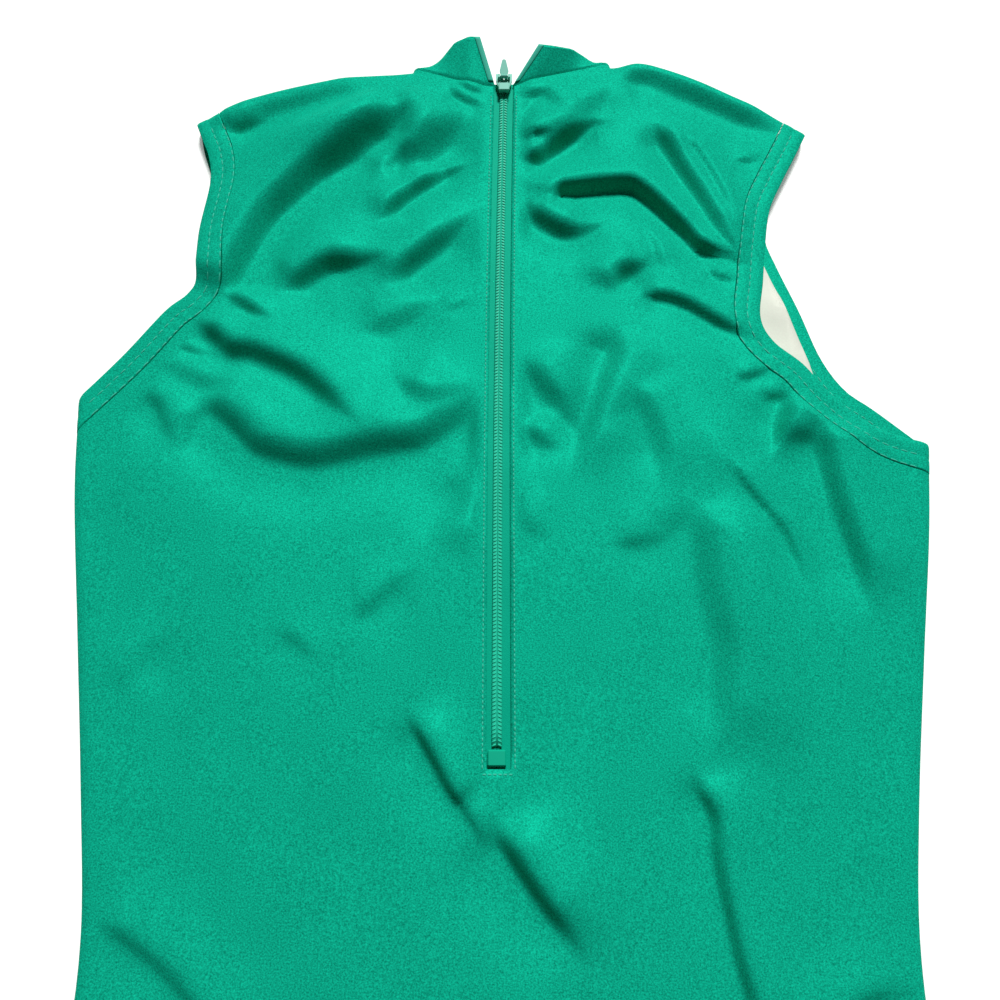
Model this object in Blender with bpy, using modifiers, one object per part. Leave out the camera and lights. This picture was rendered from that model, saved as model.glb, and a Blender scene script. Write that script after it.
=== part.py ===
"""A sleeveless leotard with a stand collar and a zip down the centre back, laid flat on its front, back up.

Metres, +Z up, +Y towards the collar, +X to the right of the back as seen from above. The tables are in
millimetres.
"""

import math
from collections import namedtuple

import bmesh
import bpy
from mathutils import Matrix, Vector

MM = 0.001

# Walls, in millimetres.
CLOTH = 1.0
HEM = 1.6
HEM_WIDTH = 12.0
SEAM_HEIGHT = 2.6
SEAM_GAP = 0.6
EDGE_GAP = 0.5
COLLAR_GAP = 0.9
COLLAR_LIFT = 0.4
LINING_GAP = 1.5
LINING_SEAM_GAP = 5.0
LINING_OVER_HEM = 6.3
LAP_START = 35.0
LAP_FULL = 65.0
BACK_ROLL = 5.0
FRONT_ROLL = 3.0
BACK_LOWEST = 4.0
ROLL_ANGLES = (0, 28, 58, 90)

# The zip, in millimetres. Its line drifts to the right above ZIP_TURN_Y.
WINDOW_HALF = 4.8
WINDOW_END = -21.5
NECK_BACK_Y = 301.5
ZIP_LOW_X = -0.5
ZIP_TOP_X = 2.0
ZIP_TURN_Y = 60.0
COIL_OFFSET = -0.7
SEAT_GAP = 0.3
TAPE_WIDTH = 8.0
TAPE_WALL = 1.0
TAPE_START = -29.0
TAPE_STOP = 304.0
TAPE_PARTS = 22
COIL_WIDTH = 1.95
COIL_HEIGHT = 1.3
COIL_START = -13.5
COIL_STOP = 300.0
HALF_GAP = 0.15
STOP_WIDTH = 7.2
STOP_LENGTH = 6.0
STOP_HEIGHT = 2.0
STOP_Y = -17.4
SLIDER_Y = 302.0
SLIDER_LENGTH = 10.0
SLIDER_WIDE = 8.0
SLIDER_NARROW = 4.6
SLIDER_PLATE = 1.6
SUNK = 0.1
MOUTH_DEPTH = 3.6
MOUTH_HALF = 2.5
CROWN_WIDTH = 5.4
CROWN_LENGTH = 4.4
CROWN_HEIGHT = 1.0
CROWN_Y = -1.2
CROWN_BEVEL = 0.3
CHEEKS_WIDTH = 6.0
CHEEK_LENGTH = 1.8
CHEEK_HEIGHT = 2.5
HINGE_Y = 2.0
HINGE_RISE = 1.5
PIN_RADIUS = 0.4
KNUCKLE_RADIUS = 1.05
KNUCKLE_BORE = 0.75
KNUCKLE_WIDTH = 3.4
PULL_LENGTH = 8.6
PULL_WALL = 0.9
PULL_ROOT = 1.0
PULL_WIDEST = 2.6
PULL_CORNER = 0.5
PULL_BASE_WIDTH = 4.4
PULL_TIP_WIDTH = 1.9
PULL_ANGLE = 12.0
STOP_BEVEL = 0.5
ROUND_SIDES = 12
PIN_SIDES = 10

# Folds keep off the zip: none within FOLD_FREE of it, all of them past FOLD_FULL.
FOLD_FREE = 10.0
FOLD_FULL = 24.0
TAPE_STEP = 5.6

Surface = namedtuple("Surface", "colour roughness")
GREEN = (0.005, 0.36, 0.22)
MINT = (0.28, 0.72, 0.58)
KNIT = Surface(GREEN, 0.35)
LINING = Surface((0.82, 0.80, 0.72), 0.8)
TAPE = Surface(GREEN, 0.7)
COIL = Surface(MINT, 0.4)
MOULDING = Surface(GREEN, 0.4)
PAINT = Surface(MINT, 0.35)

Point = namedtuple("Point", "x y")
SideRow = namedtuple("SideRow", "left_x left_y right_x right_y")
LiftRow = namedtuple("LiftRow", "y middle side")
FoldRow = namedtuple("FoldRow", "name x0 y0 x1 y1 x2 y2 width height")
CollarRow = namedtuple("CollarRow", "place share left_x left_y left_z right_x right_y right_z")

CROTCH = (Point(-36, -328), Point(-12, -329), Point(12, -329), Point(36, -328))

LEG_BACK = (
    Point(36, -328), Point(58, -317), Point(84, -301), Point(112, -279),
    Point(140, -248), Point(160, -220), Point(171, -198),
)
LEG_FRONT = (
    Point(36, -328), Point(47, -310), Point(62, -286), Point(84, -258),
    Point(112, -232), Point(142, -212), Point(171, -198),
)

# The side seams, from the leg to the underarm.
SIDE_SEAM = (
    SideRow(-171, -198, 171, -198),
    SideRow(-160, -160, 160, -162),
    SideRow(-153, -120, 153, -122),
    SideRow(-153, -80, 153, -82),
    SideRow(-161, -30, 160, -36),
    SideRow(-172, 30, 171, 20),
    SideRow(-183, 90, 182, 74),
    SideRow(-188, 133, 188, 112),
)

# The armholes' outer edges, from the underarm to the shoulder.
ARMHOLE_BACK_LEFT = (
    Point(-188, 133), Point(-170, 155), Point(-154, 177), Point(-144.5, 186), Point(-140.4, 196),
    Point(-141.3, 219), Point(-140, 246), Point(-142.5, 261), Point(-147, 272), Point(-152, 284),
)
ARMHOLE_FRONT_LEFT = (
    Point(-188, 133), Point(-165, 147), Point(-147, 166), Point(-137, 190), Point(-134, 216),
    Point(-139, 242), Point(-144.5, 259), Point(-148.8, 271), Point(-152, 284),
)
ARMHOLE_BACK_RIGHT = (
    Point(188, 112), Point(165, 119.5), Point(147, 135.5), Point(136, 150), Point(124, 161),
    Point(119, 173), Point(122, 192), Point(125, 212), Point(129, 231), Point(136, 246), Point(144, 261),
    Point(152.5, 277.5),
)
ARMHOLE_FRONT_RIGHT = (
    Point(188, 112), Point(168, 130), Point(156, 140), Point(147, 156), Point(140, 180),
    Point(132, 204), Point(128, 220), Point(131, 238), Point(142, 260), Point(152.5, 277.5),
)

# The shoulder seams, from the neck to the armhole.
SHOULDER_LEFT = (
    Point(-45, 313.5), Point(-79, 309), Point(-105, 304), Point(-125, 298),
    Point(-140, 290.5), Point(-152, 284),
)
SHOULDER_RIGHT = (
    Point(57, 317), Point(71.5, 318), Point(85, 314), Point(100, 307.5), Point(117, 298.5),
    Point(135, 289), Point(152.5, 277.5),
)

# The necklines, from the middle to the shoulder.
NECK_BACK_LEFT = (Point(-2.8, 301.5), Point(-14, 303), Point(-32, 309), Point(-45, 313.5))
NECK_BACK_RIGHT = (Point(6.8, 301.5), Point(19, 306.5), Point(38, 311.5), Point(57, 317))
NECK_FRONT_LEFT = (
    Point(0, 262), Point(-16, 264.5), Point(-29, 272), Point(-38, 285), Point(-43, 299), Point(-45, 313.5),
)
NECK_FRONT_RIGHT = (
    Point(0, 262), Point(18, 264.5), Point(34, 272), Point(46, 286), Point(53, 301), Point(57, 317),
)

# How high the back lies over the floor, in the middle and at the sides.
LIFT = (
    LiftRow(-330, 4.6, 4.4),
    LiftRow(-200, 5.8, 4.9),
    LiftRow(-60, 6.6, 5.2),
    LiftRow(60, 7.8, 5.6),
    LiftRow(180, 8.8, 6.0),
    LiftRow(260, 9.8, 6.6),
    LiftRow(302, 11.5, 7.2),
)
LIFT_HALF = 180.0

# The largest folds of the back: a curve through three points, half its width, and its height or, below 0, its
# depth.
FOLDS = (
    FoldRow("shoulder trough left", -52, 285, -108, 250, -128, 196, 10, -4.2),
    FoldRow("shoulder ridge left", -70, 300, -122, 262, -134, 236, 13, 2.2),
    FoldRow("blade ridge left", -40, 262, -88, 236, -118, 196, 13, 3.0),
    FoldRow("neck trough left", -16, 258, -42, 244, -74, 214, 8, -3.2),
    FoldRow("blade trough left", -18, 225, -44, 206, -60, 189, 8, -3.6),
    FoldRow("low trough left", -114, 190, -90, 200, -62, 205, 8, -3.4),
    FoldRow("underarm trough left", -150, 160, -122, 142, -86, 124, 9, -4.0),
    FoldRow("side trough left", -136, 184, -122, 178, -108, 170, 7, -2.8),
    FoldRow("chest wave left", -146, 124, -98, 96, -16, 118, 13, -3.6),
    FoldRow("neck trough right", 10, 256, 28, 266, 48, 280, 7, -3.2),
    FoldRow("blade trough right", 26, 242, 68, 245, 104, 212, 9, -4.6),
    FoldRow("blade ridge right", 30, 252, 74, 258, 108, 226, 10, 2.2),
    FoldRow("inner trough right", 14, 233, 28, 222, 48, 220, 8, -3.4),
    FoldRow("armhole trough right", 82, 272, 104, 246, 116, 212, 8, -3.8),
    FoldRow("waist trough right", 72, 190, 104, 178, 128, 164, 8, -3.8),
    FoldRow("corner trough right", 70, 206, 58, 196, 50, 186, 8, -3.0),
    FoldRow("long ridge right", 104, 92, 112, 30, 122, -60, 13, 2.4),
    FoldRow("long trough left", -46, 2, -28, -26, -10, -56, 6, -2.6),
    FoldRow("long trough middle", 4, -52, 16, -72, 32, -92, 9, -2.6),
    FoldRow("long trough right", 92, -30, 100, -66, 106, -112, 6, -2.8),
)
FOLD_FADE = 0.22

# The collar's top edge, by its share of the way along the neckline from the zip to the middle of the front.
COLLAR = (
    CollarRow("zip", 0.0, -10.0, 325.6, 18.6, 19.4, 321.0, 18.6),
    CollarRow("back", 0.12, -15.5, 326.2, 18.2, 27.0, 320.6, 18.0),
    CollarRow("roll", 0.25, -22.5, 324.4, 16.4, 36.0, 320.4, 16.4),
    CollarRow("fold", 0.37, -31.5, 319.6, 8.0, 46.5, 321.0, 8.0),
    CollarRow("front side", 0.55, -24.0, 309.0, 2.4, 32.0, 312.0, 2.4),
    CollarRow("front curve", 0.78, -13.0, 293.5, 1.8, 16.0, 294.5, 1.8),
    CollarRow("front", 1.0, 0.0, 288.0, 1.8, 0.0, 288.0, 1.8),
)

# How finely each piece is divided.
BACK_COUNTS = {"leg": 5, "side": 13, "armhole": 15, "neck": 3, "shoulder": 7}
FRONT_COUNTS = {"leg": 5, "side": 5, "armhole": 9, "neck": 5, "shoulder": 3}
LINING_COUNTS = {"leg": 9, "side": 6, "armhole": 16, "neck": 10}
COLLAR_STEPS = 4
SLANT_LENGTH = 36.0


class Line:
    """A smooth line through a few points, measured along its length. It works in the plane and in space."""

    def __init__(self, points, parts=16):
        points = [Vector(p) for p in points]
        ends = [2 * points[0] - points[1]] + points + [2 * points[-1] - points[-2]]
        self.points = [points[0]]
        for a, b, c, d in zip(ends, ends[1:], ends[2:], ends[3:]):
            for k in range(1, parts + 1):
                t = k / parts
                bend, turn = 2 * a - 5 * b + 4 * c - d, 3 * b - a - 3 * c + d
                self.points.append(0.5 * (2 * b + (c - a) * t + bend * t**2 + turn * t**3))
        self.so_far = [0.0]
        for a, b in zip(self.points, self.points[1:]):
            self.so_far.append(self.so_far[-1] + (b - a).length)
        self.length = self.so_far[-1]

    def at(self, distance):
        distance = min(max(distance, 0.0), self.length)
        for k in range(1, len(self.points)):
            if distance <= self.so_far[k]:
                share = (distance - self.so_far[k - 1]) / max(self.so_far[k] - self.so_far[k - 1], 1e-9)
                return self.points[k - 1].lerp(self.points[k], share)
        return self.points[-1].copy()

    def direction(self, distance):
        near = 0.4
        return (self.at(distance + near) - self.at(distance - near)).normalized()

    def nearest(self, point):
        """How far the point is from the line, and the share of the line's length where it is nearest."""
        best, share = 1e9, 0.0
        for k in range(1, len(self.points)):
            a, b = self.points[k - 1], self.points[k]
            step = b - a
            t = min(max((point - a).dot(step) / max(step.length_squared, 1e-12), 0.0), 1.0)
            gap = (point - a - step * t).length
            if gap < best:
                best, share = gap, (self.so_far[k - 1] + t * step.length) / self.length
        return best, share


def smooth(t):
    t = min(max(t, 0.0), 1.0)
    return t * t * (3 - 2 * t)


SEAMS = {
    "crotch": Line(CROTCH, 4),
    "side left": Line([(r.left_x, r.left_y) for r in SIDE_SEAM], 6),
    "side right": Line([(r.right_x, r.right_y) for r in SIDE_SEAM], 6),
    "shoulder left": Line(SHOULDER_LEFT, 6),
    "shoulder right": Line(SHOULDER_RIGHT, 6),
}
FOLD_LINES = [(row, Line([(row.x0, row.y0), (row.x1, row.y1), (row.x2, row.y2)], 6)) for row in FOLDS]


def seam_distance(point):
    """How far a point of the lay is from the nearest seam where the cloth turns under."""
    return min(line.nearest(point)[0] for line in SEAMS.values())


def zip_x(y):
    """The middle of the zip's window at a height on the back."""
    share = max(0.0, (y - ZIP_TURN_Y) / (NECK_BACK_Y - ZIP_TURN_Y))
    return ZIP_LOW_X + (ZIP_TOP_X - ZIP_LOW_X) * share**2


def coil_x(y):
    """The coil lies a little to the left in the window, less so towards the neck."""
    share = min(max(y / NECK_BACK_Y, 0.0), 1.0)
    return zip_x(y) + COIL_OFFSET * (1 - share)


def lift(point):
    """How high the back's wall lies before it is folded."""
    rows = LIFT
    low = max((r for r in rows if r.y <= point.y), key=lambda r: r.y, default=rows[0])
    high = min((r for r in rows if r.y > point.y), key=lambda r: r.y, default=rows[-1])
    share = 0.0 if high.y == low.y else min(max((point.y - low.y) / (high.y - low.y), 0.0), 1.0)
    middle = low.middle + (high.middle - low.middle) * share
    side = low.side + (high.side - low.side) * share
    across = min(abs(point.x) / LIFT_HALF, 1.0)
    return side + (middle - side) * (1 - across**2)


def folded(point):
    """What the folds add to the back's height."""
    free = smooth((abs(point.x - zip_x(point.y)) - FOLD_FREE) / (FOLD_FULL - FOLD_FREE))
    free = max(free, smooth((TAPE_START - FOLD_FREE - point.y) / FOLD_FULL))
    if free == 0.0:
        return 0.0
    total = 0.0
    for row, line in FOLD_LINES:
        gap, share = line.nearest(point)
        if gap < 3 * row.width:
            end = smooth(min(share, 1 - share) / FOLD_FADE)
            total += row.height * end * math.exp(-((gap / row.width) ** 2))
    return total * free


def rolled(distance, reach):
    """0 at a seam and 1 from reach away, round like a quarter of a circle."""
    if distance >= reach:
        return 1.0
    return math.sqrt(max(0.0, 1 - (1 - distance / reach) ** 2))


def back_height(point, gap=SEAM_GAP):
    """The height of the middle of the back's wall."""
    low = SEAM_HEIGHT + gap / 2
    top = max(lift(point) + folded(point), BACK_LOWEST)
    return low + (top - low) * rolled(seam_distance(point), BACK_ROLL)


def front_height(point, gap=SEAM_GAP, wall=CLOTH):
    """The height of the middle of the front's wall, which lies on the floor and turns up at the seams."""
    high = SEAM_HEIGHT - gap / 2
    return high - (high - wall / 2) * rolled(seam_distance(point), FRONT_ROLL)


def roll_steps(reach):
    return [reach * (1 - math.cos(math.radians(a))) for a in ROLL_ANGLES]


def spaced(length, count, reach, start=True, end=True):
    """Distances along an edge, close together where its ends turn over a seam."""
    first = roll_steps(reach) if start else [0.0]
    last = roll_steps(reach) if end else [0.0]
    low, high = first[-1], length - last[-1]
    middle = [low + (high - low) * k / count for k in range(1, count)]
    return first + middle + [length - d for d in reversed(last)]


class Edge:
    """One outer edge of a panel, with the seams that it starts and ends at."""

    def __init__(self, points, start_seam, end_seam, side):
        self.line = Line(points)
        self.side = side
        self.start_seam, self.end_seam = start_seam, end_seam
        self.start_reach, self.end_reach = self.slants()

    def slants(self):
        """How much longer a hem is along each of the two seams than across itself."""
        length = self.line.length
        return 1 / self.inward(0.0).dot(self.start_seam), 1 / self.inward(length).dot(self.end_seam)

    def inward(self, distance):
        along = self.line.direction(distance)
        return Vector((-along.y, along.x)) * self.side

    def inset(self, distance, width):
        """The point that lies this wide inside the edge, and on the seam at either end."""
        start = max(1 - distance / SLANT_LENGTH, 0.0) ** 2
        end = max(1 - (self.line.length - distance) / SLANT_LENGTH, 0.0) ** 2
        across = self.inward(distance) * (1 - start - end)
        across += self.start_seam * self.start_reach * start + self.end_seam * self.end_reach * end
        return self.line.at(distance) + across * width


def mirrored(points):
    return [(-p.x, p.y) for p in points]


def seam_way(name, from_start=True):
    line = SEAMS[name]
    return line.direction(3.0) if from_start else -line.direction(line.length - 3.0)


def edges(side_name):
    """The leg and armhole edges of one side: the back's and the front's."""
    side = 1 if side_name == "right" else -1
    crotch = seam_way("crotch", side < 0)
    hip, underarm = seam_way("side " + side_name), seam_way("side " + side_name, False)
    shoulder = seam_way("shoulder " + side_name, False)
    legs = (LEG_BACK, LEG_FRONT) if side > 0 else (mirrored(LEG_BACK), mirrored(LEG_FRONT))
    armholes = {
        "right": (ARMHOLE_BACK_RIGHT, ARMHOLE_FRONT_RIGHT),
        "left": (ARMHOLE_BACK_LEFT, ARMHOLE_FRONT_LEFT),
    }[side_name]
    pairs = {
        "leg": [Edge(points, crotch, hip, side) for points in legs],
        "armhole": [Edge(points, underarm, shoulder, side) for points in armholes],
    }
    for back, front in pairs.values():
        back.start_reach = front.start_reach = (back.start_reach + front.start_reach) / 2
        back.end_reach = front.end_reach = (back.end_reach + front.end_reach) / 2
    return pairs


EDGES = {name: edges(name) for name in ("left", "right")}
PANEL_INSET = HEM_WIDTH + EDGE_GAP


def panel_border(side_name, layer, counts, reach):
    """A panel's outer border on one side, from the crotch to the shoulder, just inside the hems."""
    leg, armhole = EDGES[side_name]["leg"][layer], EDGES[side_name]["armhole"][layer]
    seam = SEAMS["side " + side_name]
    low = PANEL_INSET * leg.end_reach
    high = seam.length - PANEL_INSET * armhole.start_reach
    border = [leg.inset(d, PANEL_INSET) for d in spaced(leg.line.length, counts["leg"], reach)]
    border += [seam.at(low + (high - low) * k / counts["side"]) for k in range(1, counts["side"])]
    border += [armhole.inset(d, PANEL_INSET) for d in spaced(armhole.line.length, counts["armhole"], reach)]
    return border


def neck_steps(length, counts, layer):
    """Distances along a neckline from the middle, with one beside the zip's tape on the back."""
    if layer == 1:
        return spaced(length, counts["neck"], FRONT_ROLL, start=False)
    return [0.0] + [TAPE_STEP + d for d in spaced(length - TAPE_STEP, counts["neck"], BACK_ROLL, start=False)]


def top_line(side_name, layer, counts):
    """The points along the neckline and the shoulder, and each one's share of the way to the armhole."""
    necks = {
        ("left", 0): NECK_BACK_LEFT, ("right", 0): NECK_BACK_RIGHT,
        ("left", 1): NECK_FRONT_LEFT, ("right", 1): NECK_FRONT_RIGHT,
    }
    neck, shoulder = Line(necks[side_name, layer]), SEAMS["shoulder " + side_name]
    armhole = EDGES[side_name]["armhole"][layer]
    tip = shoulder.length - PANEL_INSET * armhole.end_reach
    along_neck = neck_steps(neck.length, counts, layer)
    along_shoulder = [tip * k / counts["shoulder"] for k in range(1, counts["shoulder"] + 1)]
    points = [neck.at(d) for d in along_neck] + [shoulder.at(d) for d in along_shoulder]
    shares = [d / (neck.length + tip) for d in along_neck + [neck.length + d for d in along_shoulder]]
    return points, shares


def panel_rows(layer, counts, reach, middle_top):
    """The rows of points of one panel, from the crotch up, each from its left border to its right border."""
    borders = {s: panel_border(s, layer, counts, reach) for s in ("left", "right")}
    tops = {s: top_line(s, layer, counts) for s in ("left", "right")}
    row_count = len(borders["left"])
    middle = [(a.y + b.y) / 2 for a, b in zip(borders["left"], borders["right"])]
    start = counts["leg"] + counts["side"] + 2 * len(ROLL_ANGLES) - 3
    over = (middle_top - middle[start]) / (middle[-1] - middle[start])
    middle = [y if k < start else middle[start] + (y - middle[start]) * over for k, y in enumerate(middle)]
    if layer == 0:
        near = min(range(row_count), key=lambda k: abs(middle[k] - WINDOW_END))
        middle[near] = WINDOW_END
    rows = []
    for k in range(row_count):
        travelled = (middle[k] - middle[start]) / (middle_top - middle[start])
        rise = max(travelled, 0.0) ** 2
        row = []
        for side_name in ("left", "right"):
            points, shares = tops[side_name]
            outer, outer_top = borders[side_name][k], borders[side_name][-1]
            inner_x = 0.0
            if layer == 0:
                inner_x = zip_x(middle[k]) + WINDOW_HALF * (1 if side_name == "right" else -1)
            inner, inner_top = Vector((inner_x, middle[k])), points[0]
            half = []
            for share, point in zip(shares, points):
                plain, plain_top = inner.lerp(outer, share), inner_top.lerp(outer_top, share)
                half.append(plain + (point - plain_top) * rise)
            inside = half.pop()
            last = half[-1]
            way = (last - inside).normalized()
            room = min(1.0, 0.9 * (last - inside).length / reach)
            half += [inside + way * d * room for d in reversed(roll_steps(reach))]
            row.append(half)
        rows.append(list(reversed(row[0])) + row[1][1 if layer else 0 :])
    return rows, middle


def cloth_grid(name, rows, wall, holes=(), ring=False):
    """An open surface of quads through the rows of points, thickened to a wall of cloth."""
    mesh = bmesh.new()
    corners = [[mesh.verts.new(Vector(p) * MM) for p in row] for row in rows]
    pairs = list(zip(corners, corners[1:])) + ([(corners[-1], corners[0])] if ring else [])
    for k, (low, high) in enumerate(pairs):
        for c in range(len(low) - 1):
            if (k, c) not in holes:
                mesh.faces.new((low[c], low[c + 1], high[c + 1], high[c]))
    loose = [v for v in mesh.verts if not v.link_faces]
    bmesh.ops.delete(mesh, geom=loose, context="VERTS")
    return thickened(add_mesh(name, mesh), wall)


def thickened(shape, wall):
    thicken = shape.modifiers.new("Wall", "SOLIDIFY")
    thicken.thickness = wall * MM
    thicken.offset = 0.0
    return shape


def add_mesh(name, mesh):
    data = bpy.data.meshes.new(name)
    mesh.to_mesh(data)
    mesh.free()
    shape = bpy.data.objects.new(name, data)
    leotard.objects.link(shape)
    for face in data.polygons:
        face.use_smooth = True
    return shape


def finish(shape, surface):
    material = bpy.data.materials.new(shape.name)
    material.use_nodes = True
    shader = material.node_tree.nodes["Principled BSDF"]
    shader.inputs["Base Color"].default_value = (*surface.colour, 1.0)
    shader.inputs["Roughness"].default_value = surface.roughness
    shape.data.materials.clear()
    shape.data.materials.append(material)
    return shape


def back_panel():
    rows, middle = panel_rows(0, BACK_COUNTS, BACK_ROLL, NECK_BACK_Y)
    width = len(rows[0])
    bridge = width // 2
    solid, holes = [], set()
    for k, row in enumerate(rows):
        left, right = row[:bridge], row[bridge:]
        centre = (left[-1] + right[0]) / 2
        solid.append([(p.x, p.y, back_height(p)) for p in left + [centre] + right])
        if middle[k] >= WINDOW_END:
            holes |= {(k, bridge - 1), (k, bridge)}
    return finish(cloth_grid("back", solid, CLOTH, holes), KNIT)


def front_panel():
    rows, _ = panel_rows(1, FRONT_COUNTS, FRONT_ROLL, NECK_FRONT_LEFT[0].y)
    solid = [[(p.x, p.y, front_height(p)) for p in reversed(row)] for row in rows]
    return finish(cloth_grid("front", solid, CLOTH), KNIT)


def inset_seam(name, start, end, parts, out):
    """Points along a seam from one distance to another, moved off it."""
    line = SEAMS[name]
    points = []
    for k in range(parts + 1):
        d = start + (end - start) * k / parts
        along = line.direction(d)
        points.append(line.at(d) + Vector((-along.y, along.x)) * out)
    return points


def lining_inset(opening, distance):
    """How far inside an edge the lining stops. It laps the armhole's hem, except by the underarm."""
    plain = HEM_WIDTH + LINING_GAP
    if opening == "leg":
        return plain
    return plain + (LINING_OVER_HEM - plain) * smooth((distance - LAP_START) / (LAP_FULL - LAP_START))


def lining_half(side_name):
    """The lining's outline on one side, from the crotch to the middle of the neckline."""
    side = 1 if side_name == "right" else -1
    seam = SEAMS["side " + side_name]
    ends = LINING_SEAM_GAP + HEM_WIDTH + LINING_GAP
    points = []
    for opening in ("leg", "armhole"):
        edge = EDGES[side_name][opening][1]
        parts = LINING_COUNTS[opening]
        length = edge.line.length - 2 * LINING_SEAM_GAP
        for k in range(parts + 1):
            d = LINING_SEAM_GAP + length * k / parts
            points.append(edge.inset(d, lining_inset(opening, d)))
        if opening == "leg":
            parts = LINING_COUNTS["side"]
            points += inset_seam("side " + side_name, ends, seam.length - ends, parts, LINING_SEAM_GAP * side)
    neck = Line({"left": NECK_FRONT_LEFT, "right": NECK_FRONT_RIGHT}[side_name])
    low = neck.length - LINING_SEAM_GAP
    for k in range(LINING_COUNTS["neck"] + 1):
        d = low * (1 - k / LINING_COUNTS["neck"])
        along = neck.direction(d)
        points.append(neck.at(d) + Vector((along.y, -along.x)) * side * LINING_GAP)
    return points


def front_lining():
    """The lining lies flat over the front, just short of its seams, and over the armholes' hems."""
    left, right = lining_half("left"), lining_half("right")
    mesh = bmesh.new()
    outline = right[:-1] + list(reversed(left))
    height = HEM + SEAT_GAP + CLOTH / 2
    mesh.faces.new([mesh.verts.new(Vector((p.x, p.y, height)) * MM) for p in outline])
    return finish(thickened(add_mesh("front_lining", mesh), CLOTH), LINING)


def hem(name, side_name, opening, back_count, front_count):
    """A turned hem: a ring of cloth round an opening, over the back and under on the front."""
    back, front = EDGES[side_name][opening]
    insets = [0.0, HEM_WIDTH / 2, HEM_WIDTH]
    rows = []
    for d in spaced(back.line.length, back_count, BACK_ROLL):
        points = [back.inset(d, w) for w in insets]
        rows.append([(p.x, p.y, back_height(p, 0.0)) for p in points])
    for d in reversed(spaced(front.line.length, front_count, FRONT_ROLL)[1:-1]):
        points = [front.inset(d, w) for w in insets]
        rows.append([(p.x, p.y, front_height(p, 0.0, HEM)) for p in points])
    if side_name == "right":
        rows = [list(reversed(row)) for row in rows]
    return finish(cloth_grid(name, rows, HEM, ring=True), KNIT)


def neck_ring(side_name):
    """The collar's lower edge on one side, from the zip to the middle of the front, and its top edge."""
    necks = {"left": (NECK_BACK_LEFT, NECK_FRONT_LEFT), "right": (NECK_BACK_RIGHT, NECK_FRONT_RIGHT)}
    back, front = (Line(points) for points in necks[side_name])
    side = -1 if side_name == "left" else 1
    base = []
    for d in neck_steps(back.length, BACK_COUNTS, 0):
        along = back.direction(d)
        p = back.at(d) + Vector((-along.y, along.x)) * side * COLLAR_GAP
        base.append(Vector((p.x, p.y, back_height(back.at(d), 0.0) + COLLAR_LIFT)))
    for d in reversed(neck_steps(front.length, FRONT_COUNTS, 1)[:-1]):
        along = front.direction(d)
        p = front.at(d) + Vector((-along.y, along.x)) * side * COLLAR_GAP
        base.append(Vector((p.x, p.y, front_height(p, 0.0, HEM))))
    tops = [collar_top(side_name, k / (len(base) - 1)) for k in range(len(base))]
    return base, tops


def collar_top(side_name, share):
    """The collar's top edge at a share of the way from the zip to the middle of the front."""
    low = max((r for r in COLLAR[:-1] if r.share <= share), key=lambda r: r.share)
    high = COLLAR[COLLAR.index(low) + 1]
    ends = [Vector([getattr(r, side_name + axis) for axis in ("_x", "_y", "_z")]) for r in (low, high)]
    return ends[0].lerp(ends[1], (share - low.share) / (high.share - low.share))


def collar():
    """The stand collar: one band round the neck, open at the zip."""
    left_base, left_top = neck_ring("left")
    right_base, right_top = neck_ring("right")
    bases = right_base + list(reversed(left_base))[1:]
    tops = right_top + list(reversed(left_top))[1:]
    rows = []
    for k in range(COLLAR_STEPS + 1):
        rows.append([base.lerp(top, k / COLLAR_STEPS) for base, top in zip(bases, tops)])
    return finish(cloth_grid("collar", rows, HEM), KNIT)


def zip_height(y):
    """The height of the underside of the back's wall beside the window."""
    return back_height(Vector((zip_x(y), y))) - CLOTH / 2


def zip_strip(name, side, offsets, start, stop, rise, wall, surface):
    """A strip along the zip: a tape or one row of the coil, between two offsets from the coil's middle."""
    rows = []
    for k in range(TAPE_PARTS + 1):
        y = start + (stop - start) * k / TAPE_PARTS
        xs = sorted(coil_x(y) + side * offset for offset in offsets)
        rows.append([(x, y, zip_height(y) + rise) for x in xs])
    return finish(cloth_grid(name, rows, wall), surface)


def zip_tapes():
    for side_name, side in (("left", -1), ("right", 1)):
        tape_rise = -SEAT_GAP - TAPE_WALL / 2
        zip_strip("zip_tape_" + side_name, side, (HALF_GAP, TAPE_WIDTH), TAPE_START, TAPE_STOP, tape_rise,
                  TAPE_WALL, TAPE)
        coil_rise = COIL_HEIGHT / 2
        zip_strip("zip_coil_" + side_name, side, (HALF_GAP, HALF_GAP + COIL_WIDTH), COIL_START, COIL_STOP,
                  coil_rise, COIL_HEIGHT, COIL)


def block(name, width, length, height, centre, bevel):
    """A box with rounded edges."""
    mesh = bmesh.new()
    bmesh.ops.create_cube(mesh, size=1.0, matrix=Matrix.Diagonal((width, length, height, 1.0)))
    bmesh.ops.translate(mesh, verts=mesh.verts, vec=centre)
    bmesh.ops.scale(mesh, verts=mesh.verts, vec=(MM, MM, MM))
    if bevel:
        bmesh.ops.bevel(mesh, geom=mesh.edges[:], offset=bevel * MM, segments=1, profile=0.5, affect="EDGES")
    return add_mesh(name, mesh)


def plate(name, outline, wall, corner):
    """A flat plate with a drawn outline, its underside's origin at the corner."""
    mesh = bmesh.new()
    face = mesh.faces.new([mesh.verts.new((Vector((x, y, 0)) + corner) * MM) for x, y in outline])
    grown = bmesh.ops.extrude_face_region(mesh, geom=[face])
    top = [v for v in grown["geom"] if isinstance(v, bmesh.types.BMVert)]
    bmesh.ops.translate(mesh, verts=top, vec=(0, 0, wall * MM))
    bmesh.ops.recalc_face_normals(mesh, faces=mesh.faces)
    return add_mesh(name, mesh)


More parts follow.
